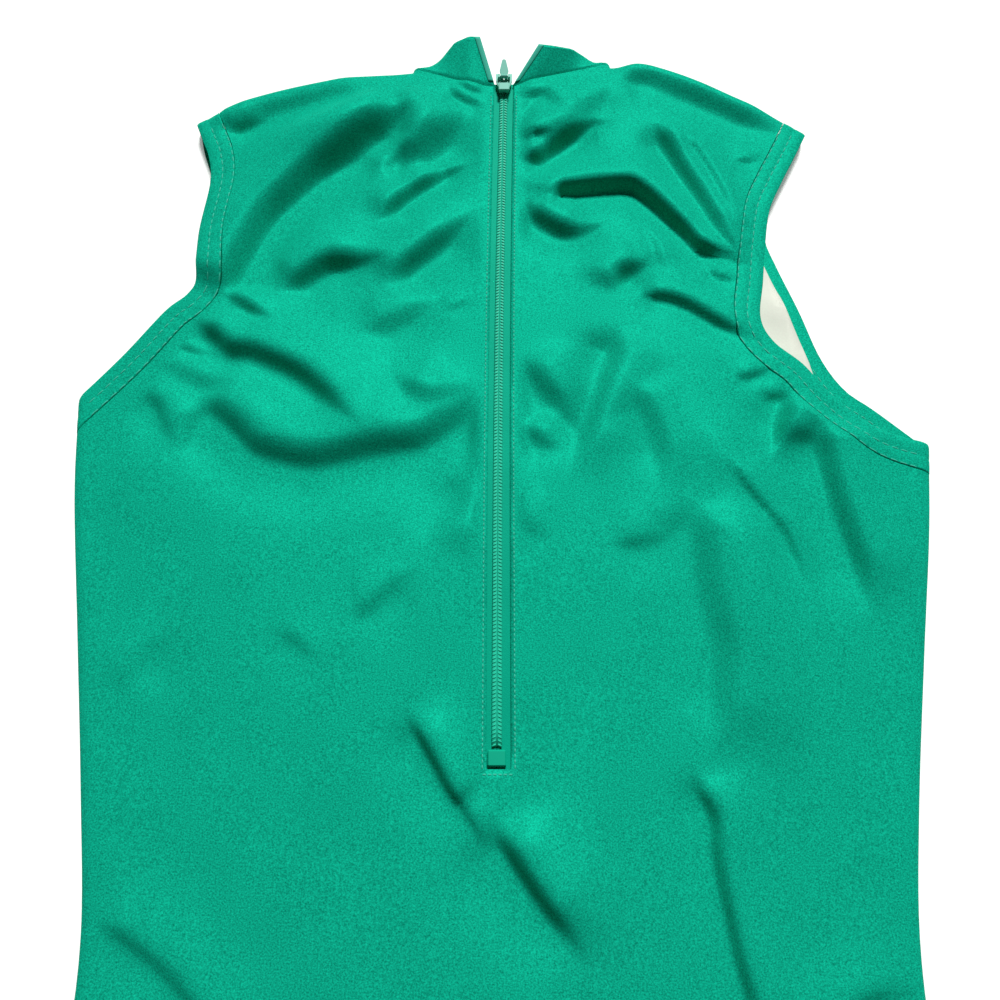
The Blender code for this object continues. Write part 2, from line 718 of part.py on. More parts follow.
def rod(name, radius, width, centre, sides=ROUND_SIDES):
    """A cylinder along X."""
    mesh = bmesh.new()
    bmesh.ops.create_cone(mesh, cap_ends=True, segments=sides, radius1=radius, radius2=radius, depth=width)
    bmesh.ops.rotate(mesh, verts=mesh.verts, cent=(0, 0, 0), matrix=Matrix.Rotation(math.pi / 2, 3, "Y"))
    bmesh.ops.translate(mesh, verts=mesh.verts, vec=centre)
    bmesh.ops.scale(mesh, verts=mesh.verts, vec=(MM, MM, MM))
    return add_mesh(name, mesh)


def combine(shape, other, operation):
    """Join another solid to this one, or cut it out, and leave one mesh."""
    step = shape.modifiers.new("Combine", "BOOLEAN")
    step.operation = operation
    step.object = other
    result = bpy.data.meshes.new_from_object(shape.evaluated_get(bpy.context.evaluated_depsgraph_get()))
    shape.modifiers.remove(step)
    shape.data = result
    bpy.data.objects.remove(other)
    return shape


def zip_stop():
    height = zip_height(STOP_Y) + STOP_HEIGHT / 2
    centre = (coil_x(STOP_Y), STOP_Y, height)
    stop = block("zip_bottom_stop", STOP_WIDTH, STOP_LENGTH, STOP_HEIGHT, centre, STOP_BEVEL)
    return finish(stop, MOULDING)


def slider_middle():
    """The middle of the underside of the slider's plate."""
    return Vector((coil_x(SLIDER_Y), SLIDER_Y, zip_height(SLIDER_Y) + COIL_HEIGHT + SEAT_GAP))


def zip_slider():
    """The plate with its mouth towards the collar, its crown, and the pin that the pull turns on."""
    middle = slider_middle()
    half, wide, narrow = SLIDER_LENGTH / 2, SLIDER_WIDE / 2, SLIDER_NARROW / 2
    mouth = half - MOUTH_DEPTH
    outline = (
        (-narrow, -half), (narrow, -half), (wide, mouth), (wide, half), (MOUTH_HALF, half),
        (0.0, mouth), (-MOUTH_HALF, half), (-wide, half), (-wide, mouth),
    )
    slider = plate("zip_slider", outline, SLIDER_PLATE, middle)
    top = middle + Vector((0, 0, SLIDER_PLATE))
    crown = top + Vector((0, CROWN_Y - CROWN_LENGTH / 2, CROWN_HEIGHT / 2 - SUNK))
    crown_height = CROWN_HEIGHT + 2 * SUNK
    combine(slider, block("crown", CROWN_WIDTH, CROWN_LENGTH, crown_height, crown, CROWN_BEVEL), "UNION")
    cheek_width = (CHEEKS_WIDTH - KNUCKLE_WIDTH - 2 * SEAT_GAP) / 2
    for side in (-1, 1):
        across = side * (KNUCKLE_WIDTH / 2 + SEAT_GAP + cheek_width / 2)
        cheek = top + Vector((across, HINGE_Y, (HINGE_RISE + PIN_RADIUS) / 2 - SUNK))
        combine(slider, block("cheek", cheek_width, CHEEK_LENGTH, CHEEK_HEIGHT, cheek, 0.0), "UNION")
    pin_width = KNUCKLE_WIDTH + 2 * SEAT_GAP + cheek_width
    pin = rod("pin", PIN_RADIUS, pin_width, top + Vector((0, HINGE_Y, HINGE_RISE)), PIN_SIDES)
    combine(slider, pin, "UNION")
    return finish(slider, PAINT)


def zip_pull():
    """The short tab, which turns on the slider's pin."""
    hinge = slider_middle() + Vector((0, HINGE_Y, SLIDER_PLATE + HINGE_RISE))
    pull = rod("zip_pull", KNUCKLE_RADIUS, KNUCKLE_WIDTH, (0, 0, 0))
    root, wide, far = KNUCKLE_WIDTH / 2, PULL_BASE_WIDTH / 2, PULL_TIP_WIDTH / 2
    outline = (
        (-root, PULL_ROOT), (root, PULL_ROOT), (wide, PULL_WIDEST), (far, PULL_LENGTH - PULL_CORNER),
        (far / 2, PULL_LENGTH), (-far / 2, PULL_LENGTH), (-far, PULL_LENGTH - PULL_CORNER),
        (-wide, PULL_WIDEST),
    )
    combine(pull, plate("tab", outline, PULL_WALL, Vector((0, 0, -PULL_WALL / 2))), "UNION")
    combine(pull, rod("bore", KNUCKLE_BORE, KNUCKLE_WIDTH * 2, (0, 0, 0), PIN_SIDES), "DIFFERENCE")
    pull.location = hinge * MM
    pull.rotation_euler = (math.radians(PULL_ANGLE), 0, 0)
    return finish(pull, PAINT)


leotard = bpy.data.collections.new("leotard")


def main():
    for thing in list(bpy.data.objects):
        bpy.data.objects.remove(thing)
    bpy.context.scene.collection.children.link(leotard)
    back_panel()
    front_panel()
    front_lining()
    for side_name in ("left", "right"):
        hem("armhole_hem_" + side_name, side_name, "armhole", BACK_COUNTS["armhole"], FRONT_COUNTS["armhole"])
        hem("leg_hem_" + side_name, side_name, "leg", BACK_COUNTS["leg"], FRONT_COUNTS["leg"])
    collar()
    zip_tapes()
    zip_stop()
    zip_slider()
    zip_pull()


main()
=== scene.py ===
"""A sleeveless leotard laid flat on its front, back up: its cloth, hems, stitching, zip, light and camera.

The tables are in millimetres, in the part's own frame: +Y towards the collar, +X to the right and +Z up.
"""

import math
from collections import namedtuple

import bmesh
import bpy
import numpy as np
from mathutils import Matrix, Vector


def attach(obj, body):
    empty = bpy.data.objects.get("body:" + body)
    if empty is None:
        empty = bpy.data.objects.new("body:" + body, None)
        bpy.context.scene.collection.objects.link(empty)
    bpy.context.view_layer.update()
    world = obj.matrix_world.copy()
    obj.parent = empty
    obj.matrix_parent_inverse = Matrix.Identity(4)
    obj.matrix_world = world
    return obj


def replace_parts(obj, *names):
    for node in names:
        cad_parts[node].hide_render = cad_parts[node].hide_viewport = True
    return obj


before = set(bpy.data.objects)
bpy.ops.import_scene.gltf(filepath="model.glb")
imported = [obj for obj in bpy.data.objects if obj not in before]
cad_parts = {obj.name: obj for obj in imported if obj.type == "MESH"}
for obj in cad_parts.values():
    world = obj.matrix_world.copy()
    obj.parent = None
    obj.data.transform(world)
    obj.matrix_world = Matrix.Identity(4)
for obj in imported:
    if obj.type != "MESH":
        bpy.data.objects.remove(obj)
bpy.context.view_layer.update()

MM = 0.001
MERGE = 1e-4

# The cloth's walls and the way it lies, as in the part.
CLOTH_SHELL = 0.8
HEM_SHELL = 1.1
HEM_WIDTH = 12.0
SEAM_HEIGHT = 2.6
SEAM_GAP = 0.6
EDGE_GAP = 0.3
COLLAR_GAP = 0.9
COLLAR_LIFT = 0.4
BACK_ROLL = 5.0
FRONT_ROLL = 3.0
BACK_LOWEST = 4.0
BACK_SOFT = 0.5
FLOOR_CLEAR = 0.1
ROLL_ANGLES = (0, 15, 30, 45, 60, 75, 90)
LINING_GAP = 1.5
LINING_SEAM_GAP = 5.0
LINING_OVER_HEM = 6.3
LAP_START = 35.0
LAP_FULL = 65.0
LINING_HEIGHT = 2.4
SLANT_LENGTH = 36.0

# The zip. Its line drifts to the right above ZIP_TURN_Y.
WINDOW_HALF = 4.8
WINDOW_END = -21.5
NECK_BACK_Y = 301.5
ZIP_LOW_X = -0.5
ZIP_TOP_X = 2.0
ZIP_TURN_Y = 60.0
COIL_OFFSET = -0.7
TAPE_STEP = 5.6
TAPE_START = -29.0
COIL_HEIGHT = 1.3
COIL_WIDTH = 1.95
COIL_START = -13.5
COIL_STOP = 300.0
COIL_PITCH = 1.5
HALF_GAP = 0.15

# Folds keep off the zip: none within FOLD_FREE of it, all past FOLD_FULL, and the same below its tape.
FOLD_FREE = 6.5
FOLD_FULL = 15.0
FOLD_BELOW = 2.0

Point = namedtuple("Point", "x y")
LiftRow = namedtuple("LiftRow", "y middle side")
CollarRow = namedtuple("CollarRow", "place share left_x left_y left_z right_x right_y right_z")


def path(*numbers):
    """Points from their numbers, x and y in turn."""
    return tuple(Point(x, y) for x, y in zip(numbers[::2], numbers[1::2]))


CROTCH = path(-36, -328, -12, -329, 12, -329, 36, -328)
LEG_BACK = path(36, -328, 58, -317, 84, -301, 112, -279, 140, -248, 160, -220, 171, -198)
LEG_FRONT = path(36, -328, 47, -310, 62, -286, 84, -258, 112, -232, 142, -212, 171, -198)

# The side seams, from the leg to the underarm.
SIDE_LEFT = path(-171, -198, -160, -160, -153, -120, -153, -80, -161, -30, -172, 30, -183, 90, -188, 133)
SIDE_RIGHT = path(171, -198, 160, -162, 153, -122, 153, -82, 160, -36, 171, 20, 182, 74, 188, 112)

# The armholes' outer edges, from the underarm to the shoulder.
ARMHOLE_BACK_LEFT = path(
    -188, 133, -170, 155, -154, 177, -144.5, 186, -140.4, 196, -141.3, 219, -140, 246, -142.5, 261,
    -147, 272, -152, 284,
)
ARMHOLE_FRONT_LEFT = path(
    -188, 133, -165, 147, -147, 166, -137, 190, -134, 216, -139, 242, -144.5, 259, -148.8, 271, -152, 284,
)
ARMHOLE_BACK_RIGHT = path(
    188, 112, 165, 119.5, 147, 135.5, 136, 150, 124, 161, 119, 173, 122, 192, 125, 212, 129, 231,
    136, 246, 144, 261, 152.5, 277.5,
)
ARMHOLE_FRONT_RIGHT = path(
    188, 112, 168, 130, 156, 140, 147, 156, 140, 180, 132, 204, 128, 220, 131, 238, 142, 260, 152.5, 277.5,
)

# The shoulder seams, from the neck to the armhole.
SHOULDER_LEFT = path(-45, 313.5, -79, 309, -105, 304, -125, 298, -140, 290.5, -152, 284)
SHOULDER_RIGHT = path(57, 317, 71.5, 318, 85, 314, 100, 307.5, 117, 298.5, 135, 289, 152.5, 277.5)

# The necklines, from the middle to the shoulder.
NECK_BACK_LEFT = path(-2.8, 301.5, -14, 303, -32, 309, -45, 313.5)
NECK_BACK_RIGHT = path(6.8, 301.5, 19, 306.5, 38, 311.5, 57, 317)
NECK_FRONT_LEFT = path(0, 262, -16, 264.5, -29, 272, -38, 285, -43, 299, -45, 313.5)
NECK_FRONT_RIGHT = path(0, 262, 18, 264.5, 34, 272, 46, 286, 53, 301, 57, 317)

# How high the back lies over the floor, in the middle and at the sides.
LIFT = (
    LiftRow(-330, 4.6, 4.4),
    LiftRow(-200, 5.8, 4.9),
    LiftRow(-60, 6.6, 5.2),
    LiftRow(60, 7.8, 5.6),
    LiftRow(180, 8.8, 6.0),
    LiftRow(260, 9.8, 6.6),
    LiftRow(302, 11.5, 7.2),
)
LIFT_HALF = 180.0

# The collar's top edge, by its share of the way along the neckline from the zip to the middle of the front.
COLLAR = (
    CollarRow("zip", 0.0, -10.0, 325.6, 18.6, 19.4, 321.0, 18.6),
    CollarRow("back", 0.12, -15.5, 326.2, 18.2, 27.0, 320.6, 18.0),
    CollarRow("roll", 0.25, -22.5, 324.4, 16.4, 36.0, 320.4, 16.4),
    CollarRow("fold", 0.37, -31.5, 319.6, 8.0, 46.5, 321.0, 8.0),
    CollarRow("front side", 0.55, -24.0, 309.0, 2.4, 32.0, 312.0, 2.4),
    CollarRow("front curve", 0.78, -13.0, 293.5, 1.8, 16.0, 294.5, 1.8),
    CollarRow("front", 1.0, 0.0, 288.0, 1.8, 0.0, 288.0, 1.8),
)

# The creases of the back. Each is a wall of cloth along a line, with its crest to the left of the line's way
# and its foot to the right: the wall's width, its steepness in degrees, how far the cloth takes to settle
# behind the crest and in front of the foot, and the share of the wall that stands above the panel.
Crease = namedtuple("Crease", "name points width slope back front above", defaults=(0.5,))


def creases(*rows):
    """Creases from rows with their names, the numbers of their points and their sizes."""
    return [Crease(name, path(*numbers), *sizes) for name, numbers, *sizes in rows]


CREASES = creases(
    ("shoulder sweep left", (-127, 187, -123, 200, -118, 214, -111, 229, -100, 243, -90, 254, -79, 263,
     -69, 272, -61, 278, -52, 284, -44, 288), 13, 44, 20, 14),
    ("shoulder nick left", (-135, 277, -130, 280, -123, 283, -116, 285), 5, 36, 8, 6),
    ("neck nick left", (-59, 254, -54, 260, -49, 264, -44, 268), 7, 26, 8, 7),
    ("collar line left", (-21, 303, -13, 299, -5, 297), 3, 36, 4, 4),
    ("neck wall left", (-57, 225, -50, 234, -43, 241, -34, 248, -25, 254, -15, 257), 6, 46, 11, 10),
    ("blade wall left", (-51, 191, -44, 200, -36, 207, -28, 214, -21, 221, -15, 227), 9, 42, 14, 13),
    ("blade foot left", (-100, 188, -93, 193, -85, 199, -79, 202, -68, 203, -56, 204), 9, 44, 14, 12),
    ("armhole nick left", (-127, 186, -118, 180, -110, 175, -102, 171), 6, 42, 9, 8),
    ("underarm wall left", (-138, 171, -128, 163, -121, 157, -111, 155, -101, 151, -89, 145, -79, 137,
     -71, 129, -64, 122), 10, 42, 16, 14, 0.6),
    ("underarm nick left", (-145, 160, -137, 157, -131, 158), 2.6, 32, 4, 4),
    ("chest wave left", (-133, 132, -124, 127, -115, 120, -106, 111, -94, 107, -82, 105, -70, 107,
     -58, 110, -46, 112, -36, 114, -27, 119, -19, 126, -11, 135), 15, 34, 20, 14),
    ("side dip left", (-158, 138, -150, 129, -146, 120, -141, 112), 9, 28, 10, 9),
    ("zip dip", (-13, 98, -16, 84, -24, 74, -29, 64), 14, 19, 16, 14),
    ("waist dip left", (-61, 38, -54, 40, -44, 50, -35, 56), 8, 20, 10, 10),
    ("waist line left", (-91, 32, -81, 26, -71, 17), 6, 15, 8, 8),
    ("flank dip left", (-146, 8, -142, 23, -133, 32), 10, 12, 10, 10),
    ("blade line left", (-24, 176, -13, 183), 3, 16, 5, 4),
    ("low line left", (-35, -2, -31, -9, -25, -19, -19, -29, -13, -36, -7, -46), 6, 50, 11, 12, 0.55),
    ("low pocket", (-1, -42, 1, -46, 6, -54, 11, -61, 17, -69, 25, -78, 29, -84), 10, 46, 15, 14, 0.6),
    ("low line right", (75, -24, 77, -30, 81, -39, 81, -50, 82, -61, 84, -74, 86, -86, 89, -99, 92, -118),
     6, 46, 11, 9),
    ("neck line right", (9, 271, 17, 272, 26, 273), 3.4, 40, 5, 5),
    ("neck wall right", (9, 259, 18, 261, 24, 266, 31, 272, 39, 278, 46, 282, 50, 282), 6.5, 52, 13, 11),
    ("collar line right", (7, 286, 12, 291, 18, 294), 3.4, 34, 5, 5),
    ("collar dip right", (21, 303, 26, 294, 31, 290, 37, 287), 5, 20, 6, 6),
    ("blade wall right", (24, 233, 26, 237, 29, 242, 35, 243, 43, 244, 53, 245, 63, 245, 69, 241, 75, 235,
     81, 228, 88, 220, 94, 212, 100, 209, 106, 207, 112, 203), 5, 58, 13, 10),
    ("armhole dent right", (97, 200, 102, 195, 110, 193), 3, 36, 5, 5),
    ("inner wall right", (13, 235, 17, 228, 25, 222, 32, 219, 39, 219, 48, 222), 7, 46, 12, 10),
    ("shoulder wall right", (77, 280, 84, 266, 90, 253, 97, 239, 102, 227, 106, 217, 111, 209),
     6.5, 46, 11, 9),
    ("shoulder line right", (91, 273, 99, 259, 105, 245, 109, 233, 113, 221), 4, 32, 7, 6),
    ("corner wall right", (52, 187, 55, 195, 59, 198, 66, 201, 70, 205), 8, 42, 12, 10),
    ("rib line right", (63, 186, 69, 185, 77, 184, 85, 181, 93, 176, 102, 170, 110, 166, 116, 163),
     4.5, 46, 9, 7),
    ("blade line right", (67, 221, 73, 213, 75, 204, 80, 196), 4, 20, 6, 6),
    ("blade dip right", (55, 165, 52, 153, 48, 144, 44, 132, 40, 120, 36, 110, 32, 102), 10, 34, 14, 12),
    ("rib dimple", (105, 143, 110, 144, 118, 147, 122, 148), 4, 30, 6, 5, 0.4),
    ("shoulder dimple", (115, 259, 122, 260, 128, 260), 2.8, 24, 4, 4),
    ("underarm nick right", (130, 135, 126, 127, 121, 114, 118, 108), 7, 54, 14, 9, 0.6),
    ("underarm tick right", (120, 133, 125, 138), 2.6, 30, 4, 4),
    ("spine line", (10, 121, 16, 115, 26, 109), 9, 26, 9, 8),
    ("waist dip right", (47, 67, 57, 68, 66, 70, 75, 74), 7, 20, 10, 9),
    ("waist dip middle", (3, 78, 21, 70), 9, 12, 10, 9),
    ("rib crease right", (99, 103, 104, 94, 109, 87, 113, 82, 119, 74, 123, 64, 125, 56, 127, 48),
     4, 38, 11, 6),
    ("side wall right", (140, 122, 141, 109, 142, 96, 144, 83, 147, 69, 150, 56, 152, 43), 11, 38, 15, 13),
    ("long flank right", (84, 83, 85, 68, 86, 52, 88, 38, 90, 25, 89, 11, 86, -2, 82, -11),
     14, 24, 22, 15, 0.6),
    ("collar lens left", (-26, 300, -20, 296, -12, 292, -6, 290), 4, 38, 6, 5),
    ("collar fold right", (6, 292, 11, 296, 18, 298, 26, 299), 4, 40, 6, 5),
    ("yoke dip left", (-52, 300, -47, 288, -44, 272, -47, 256), 12, 20, 12, 12),
    ("yoke dip right", (12, 272, 30, 276, 44, 290, 54, 300), 11, 18, 12, 12),
    ("neck shade left", (-44, 256, -36, 266, -27, 276, -16, 287), 15, 32, 14, 13),
    ("yoke shade left", (-60, 246, -52, 255, -42, 266, -34, 280), 10, 22, 12, 12),
    ("rib shade left", (-62, 166, -46, 172, -28, 184), 11, 18, 12, 12),
    ("flank shade right", (58, 138, 66, 124, 70, 108, 70, 92), 12, 20, 13, 12),
    ("spine dip right", (10, 152, 18, 141, 27, 130, 35, 117), 11, 28, 14, 12),
    ("spine dip left", (-46, 141, -30, 134, -12, 139), 10, 24, 12, 11),
    ("armhole dip left", (-150, 150, -132, 142, -112, 140), 10, 20, 11, 11),
    ("zip end dimple", (-14, -27, -10, -29, -6, -30), 4, 34, 5, 5),
    ("shoulder rim left", (-141, 278, -126, 286, -105, 292, -82, 297, -62, 301), 9, 24, 7, 10),
    ("shoulder rim right", (60, 307, 74, 308, 87, 303, 102, 296, 119, 287, 137, 277), 10, 26, 7, 11),
    ("crotch crease left", (-98, -262, -78, -240, -52, -232), 6, 22, 8, 7),
    ("crotch crease right", (44, -246, 72, -250, 104, -228), 6, 24, 8, 7),
    ("seat dip left", (-118, -150, -78, -166, -34, -158), 12, 14, 14, 12),
    ("seat dip right", (28, -134, 66, -152, 118, -142), 11, 16, 13, 12),
    ("hip wall left", (-146, -74, -118, -92, -92, -120), 9, 24, 11, 10),
    ("hip wall right", (104, -118, 128, -100, 148, -96), 8, 24, 10, 9),
)

# How a crease fades at an end: the tail that leads it on past its drawn end, and the run in which its wall
# grows. On a short crease each is a share of its length instead.
CreaseEnd = namedtuple("CreaseEnd", "tail tail_share run run_share")
CREASE_START = CreaseEnd(5.0, 0.12, 15.0, 0.3)
CREASE_STOP = CreaseEnd(10.0, 0.2, 30.0, 0.55)

# What turns a wall's slope into its height, how wide it is at its ends and how far its crest and foot reach
# into it, as shares of its width, and how many times their length away they still count.
CREASE_WALL_RUN = 1.387
CREASE_DEPTH = 1.48
CREASE_END_WIDTH = 0.3
CREASE_INTO_WALL = 0.6
CREASE_REACH = 2.2

# Broad swells and hollows of the back, as round or long mounds.
Swell = namedtuple("Swell", "name x y long wide turn height")
SWELLS = (
    Swell("long ridge right", 105, 48, 62, 9, 98, 2.4),
    Swell("long ridge top", 96, 108, 26, 8, 118, 1.6),
    Swell("blade right", 72, 212, 9, 22, 64, 1.2),
    Swell("shoulder left", -78, 278, 36, 13, 18, 4.6),
    Swell("shoulder right", 62, 300, 30, 8, 0, 1.0),
    Swell("blade left", -92, 216, 22, 13, 20, 1.2),
    Swell("side left", -150, 96, 20, 14, 60, 0.8),
    Swell("waist left", -78, 10, 40, 26, 80, 0.8),
    Swell("waist hollow", -50, 74, 32, 18, 30, -0.9),
    Swell("low hollow", -18, -58, 16, 11, 125, -1.0),
    Swell("seat left", -70, -195, 60, 40, 10, 1.0),
    Swell("seat right", 74, -190, 56, 42, 170, 1.2),
)

SIDES = (("left", -1), ("right", 1))


class Line:
    """A smooth line through a few points, measured along its length, in the plane or in space."""

    NEAR = 0.4

    def __init__(self, points, parts=16):
        points = np.array([tuple(p) for p in points], float)
        ends = np.vstack([2 * points[0] - points[1], points, 2 * points[-1] - points[-2]])
        t = np.linspace(0, 1, parts + 1)[1:, None]
        runs = [points[:1]]
        for a, b, c, d in zip(ends, ends[1:], ends[2:], ends[3:]):
            bend, twist = 2 * a - 5 * b + 4 * c - d, 3 * b - a - 3 * c + d
            runs.append(0.5 * (2 * b + (c - a) * t + bend * t**2 + twist * t**3))
        self.points = np.vstack(runs)
        self.steps = np.diff(self.points, axis=0)
        self.lengths = np.linalg.norm(self.steps, axis=1)
        self.so_far = np.concatenate([[0.0], np.cumsum(self.lengths)])
        self.length = self.so_far[-1]

    def at(self, distance):
        axes = range(self.points.shape[1])
        return np.stack([np.interp(distance, self.so_far, self.points[:, k]) for k in axes], axis=-1)

    def direction(self, distance):
        return unit(self.at(distance + self.NEAR) - self.at(distance - self.NEAR))

    def around(self, points, reach):
        """The numbers of the points in the line's box, with a reach more on every side."""
        low, high = self.points.min(0) - reach, self.points.max(0) + reach
        return np.flatnonzero(((points > low) & (points < high)).all(1))

    def nearest(self, points):
        """Each point's distance from the line, above 0 to the left of its way, and its share of the way."""
        off = points[:, None, :] - self.points[:-1]
        t = np.clip((off * self.steps).sum(2) / np.maximum(self.lengths**2, 1e-12), 0, 1)
        gap = off - t[..., None] * self.steps
        squared = (gap**2).sum(2)
        k = squared.argmin(1)
        rows = np.arange(len(points))
        turn = self.steps[k, 0] * off[rows, k, 1] - self.steps[k, 1] * off[rows, k, 0]
        share = (self.so_far[k] + t[rows, k] * self.lengths[k]) / self.length
        return np.sqrt(squared[rows, k]) * np.where(turn < 0, -1.0, 1.0), share


def unit(ways):
    return ways / np.linalg.norm(ways, axis=-1, keepdims=True)


def smooth(t):
    t = np.clip(t, 0.0, 1.0)
    return t * t * (3 - 2 * t)


def falloff(distance, reach):
    """1 on a line and next to nothing two reaches away from it."""
    return np.exp(-((distance / reach) ** 2))


def turned(way):
    """Ways in the plane, turned a quarter to the left."""
    return np.stack([-way[..., 1], way[..., 0]], axis=-1)


SEAMS = {
    "crotch": Line(CROTCH, 6),
    "side left": Line(SIDE_LEFT, 8),
    "side right": Line(SIDE_RIGHT, 8),
    "shoulder left": Line(SHOULDER_LEFT, 8),
    "shoulder right": Line(SHOULDER_RIGHT, 8),
}


def with_tails(points):
    """A crease's points, led on at both ends for the length where the crease fades out."""
    points = [np.array(point, float) for point in points]
    length = sum(np.linalg.norm(b - a) for a, b in zip(points, points[1:]))
    tails = []
    for end, before, fade in ((points[0], points[1], CREASE_START), (points[-1], points[-2], CREASE_STOP)):
        tails.append(end + unit(end - before) * min(fade.tail, fade.tail_share * length))
    return [tails[0], *points, tails[1]]


CREASE_LINES = [(row, Line(with_tails(row.points), 8)) for row in CREASES]


def seam_distance(points):
    """How far points of the lay are from the nearest seam where the cloth turns under."""
    return np.min([np.abs(line.nearest(points)[0]) for line in SEAMS.values()], axis=0)


def zip_x(y):
    """The middle of the zip's window at a height on the back."""
    share = np.maximum(0.0, (y - ZIP_TURN_Y) / (NECK_BACK_Y - ZIP_TURN_Y))
    return ZIP_LOW_X + (ZIP_TOP_X - ZIP_LOW_X) * share**2


def coil_x(y):
    """The coil lies a little to the left in the window, less so towards the neck."""
    return zip_x(y) + COIL_OFFSET * (1 - np.clip(y / NECK_BACK_Y, 0.0, 1.0))


def lift(points):
    """How high the back's wall lies before it is folded."""
    heights = [row.y for row in LIFT]
    middle = np.interp(points[:, 1], heights, [row.middle for row in LIFT])
    side = np.interp(points[:, 1], heights, [row.side for row in LIFT])
    across = np.minimum(np.abs(points[:, 0]) / LIFT_HALF, 1.0)
    return side + (middle - side) * (1 - across**2)


def crease_height(points, lines):
    """What a table of creases adds to the cloth's height."""
    total = np.zeros(len(points))
    for row, line in lines:
        close = line.around(points, row.width + CREASE_REACH * max(row.back, row.front))
        if not len(close):
            continue
        away, share = line.nearest(points[close])
        run_in, run_out = [min(end.run / line.length, end.run_share) for end in (CREASE_START, CREASE_STOP)]
        end = smooth(share / run_in) * smooth((1 - share) / run_out)
        width = row.width * (CREASE_END_WIDTH + (1 - CREASE_END_WIDTH) * end)
        wall = CREASE_DEPTH * math.tan(math.radians(row.slope)) * width / CREASE_WALL_RUN * end
        crest_run = np.where(away > width / 2, row.back, CREASE_INTO_WALL * width)
        foot_run = np.where(away < -width / 2, row.front, CREASE_INTO_WALL * width)
        crest, foot = falloff(away - width / 2, crest_run), falloff(away + width / 2, foot_run)
        total[close] += wall * (row.above * crest - (1 - row.above) * foot)
    return total


def swell_height(points):
    """What the broad swells add to the back's height."""
    total = np.zeros(len(points))
    for row in SWELLS:
        turn = math.radians(row.turn)
        x, y = points[:, 0] - row.x, points[:, 1] - row.y
        along = x * math.cos(turn) + y * math.sin(turn)
        across = y * math.cos(turn) - x * math.sin(turn)
        total += row.height * np.exp(-((along / row.long) ** 2) - (across / row.wide) ** 2)
    return total


def off_the_zip(points):
    """0 beside the zip, where the cloth is held flat by its stitching, and 1 away from it."""
    beside = smooth((np.abs(points[:, 0] - zip_x(points[:, 1])) - FOLD_FREE) / (FOLD_FULL - FOLD_FREE))
    below = smooth((TAPE_START - points[:, 1] + FOLD_BELOW) / FOLD_FULL)
    return np.maximum(beside, below)


def rolled(distance, reach):
    """0 at a seam and 1 from reach away, round like a quarter of a circle."""
    return np.sqrt(1 - (1 - np.minimum(distance / reach, 1.0)) ** 2)


def back_height(points, gap=SEAM_GAP):
    """The height of the middle of the back's wall."""
    points = np.atleast_2d(points)
    top = lift(points) + (swell_height(points) + crease_height(points, CREASE_LINES)) * off_the_zip(points)
    top = BACK_LOWEST + BACK_SOFT * np.logaddexp(0.0, (top - BACK_LOWEST) / BACK_SOFT)
    low = SEAM_HEIGHT + gap / 2
    return low + (top - low) * rolled(seam_distance(points), BACK_ROLL)


def front_height(points, gap=SEAM_GAP, wall=CLOTH_SHELL):
    """The height of the middle of the front's wall, which lies on the floor and turns up at the seams."""
    points = np.atleast_2d(points)
    high = SEAM_HEIGHT - gap / 2
    return high - (high - wall / 2 - FLOOR_CLEAR) * rolled(seam_distance(points), FRONT_ROLL)


def roll_steps(reach):
    return np.array([reach * (1 - math.cos(math.radians(a))) for a in ROLL_ANGLES])


def spaced(length, count, reach, start=True):
    """Distances along an edge, close together where its ends turn over a seam."""
    last = roll_steps(reach)
    first = last if start else np.zeros(1)
    middle = np.linspace(first[-1], length - last[-1], count + 1)[1:-1]
    return np.concatenate([first, middle, length - last[::-1]])


class Edge:
    """One outer edge of a panel, with the seams that it starts and ends at."""

    def __init__(self, points, start_seam, end_seam, side):
        self.line = Line(points)
        self.side = side
        self.start_seam, self.end_seam = start_seam, end_seam
        self.start_reach = 1 / self.inward(0.0).dot(start_seam)
        self.end_reach = 1 / self.inward(self.line.length).dot(end_seam)

    def inward(self, distance):
        return turned(self.line.direction(distance)) * self.side

    def inset(self, distance, width):
        """The points that lie this wide inside the edge, and on the seam at either end."""
        distance = np.atleast_1d(distance)
        start = (np.maximum(1 - distance / SLANT_LENGTH, 0.0) ** 2)[:, None]
        end = (np.maximum(1 - (self.line.length - distance) / SLANT_LENGTH, 0.0) ** 2)[:, None]
        across = self.inward(distance) * (1 - start - end)
        across = across + self.start_seam * self.start_reach * start + self.end_seam * self.end_reach * end
        return self.line.at(distance) + across * width


def mirrored(points):
    return [(-p.x, p.y) for p in points]


SEAM_WAY_AT = 3.0


def seam_way(name, from_start=True):
    """A seam's way close to one of its ends, from that end on."""
    line = SEAMS[name]
    return line.direction(SEAM_WAY_AT) if from_start else -line.direction(line.length - SEAM_WAY_AT)


def edges(side_name, side):
    """The leg and armhole edges of one side: the back's and the front's."""
    crotch = seam_way("crotch", side < 0)
    hip, underarm = seam_way("side " + side_name), seam_way("side " + side_name, False)
    shoulder = seam_way("shoulder " + side_name, False)
    legs = (LEG_BACK, LEG_FRONT) if side > 0 else (mirrored(LEG_BACK), mirrored(LEG_FRONT))
    armholes = {
        "right": (ARMHOLE_BACK_RIGHT, ARMHOLE_FRONT_RIGHT),
        "left": (ARMHOLE_BACK_LEFT, ARMHOLE_FRONT_LEFT),
    }[side_name]
    pairs = {
        "leg": [Edge(points, crotch, hip, side) for points in legs],
        "armhole": [Edge(points, underarm, shoulder, side) for points in armholes],
    }
    for back, front in pairs.values():
        back.start_reach = front.start_reach = (back.start_reach + front.start_reach) / 2
        back.end_reach = front.end_reach = (back.end_reach + front.end_reach) / 2
    return pairs


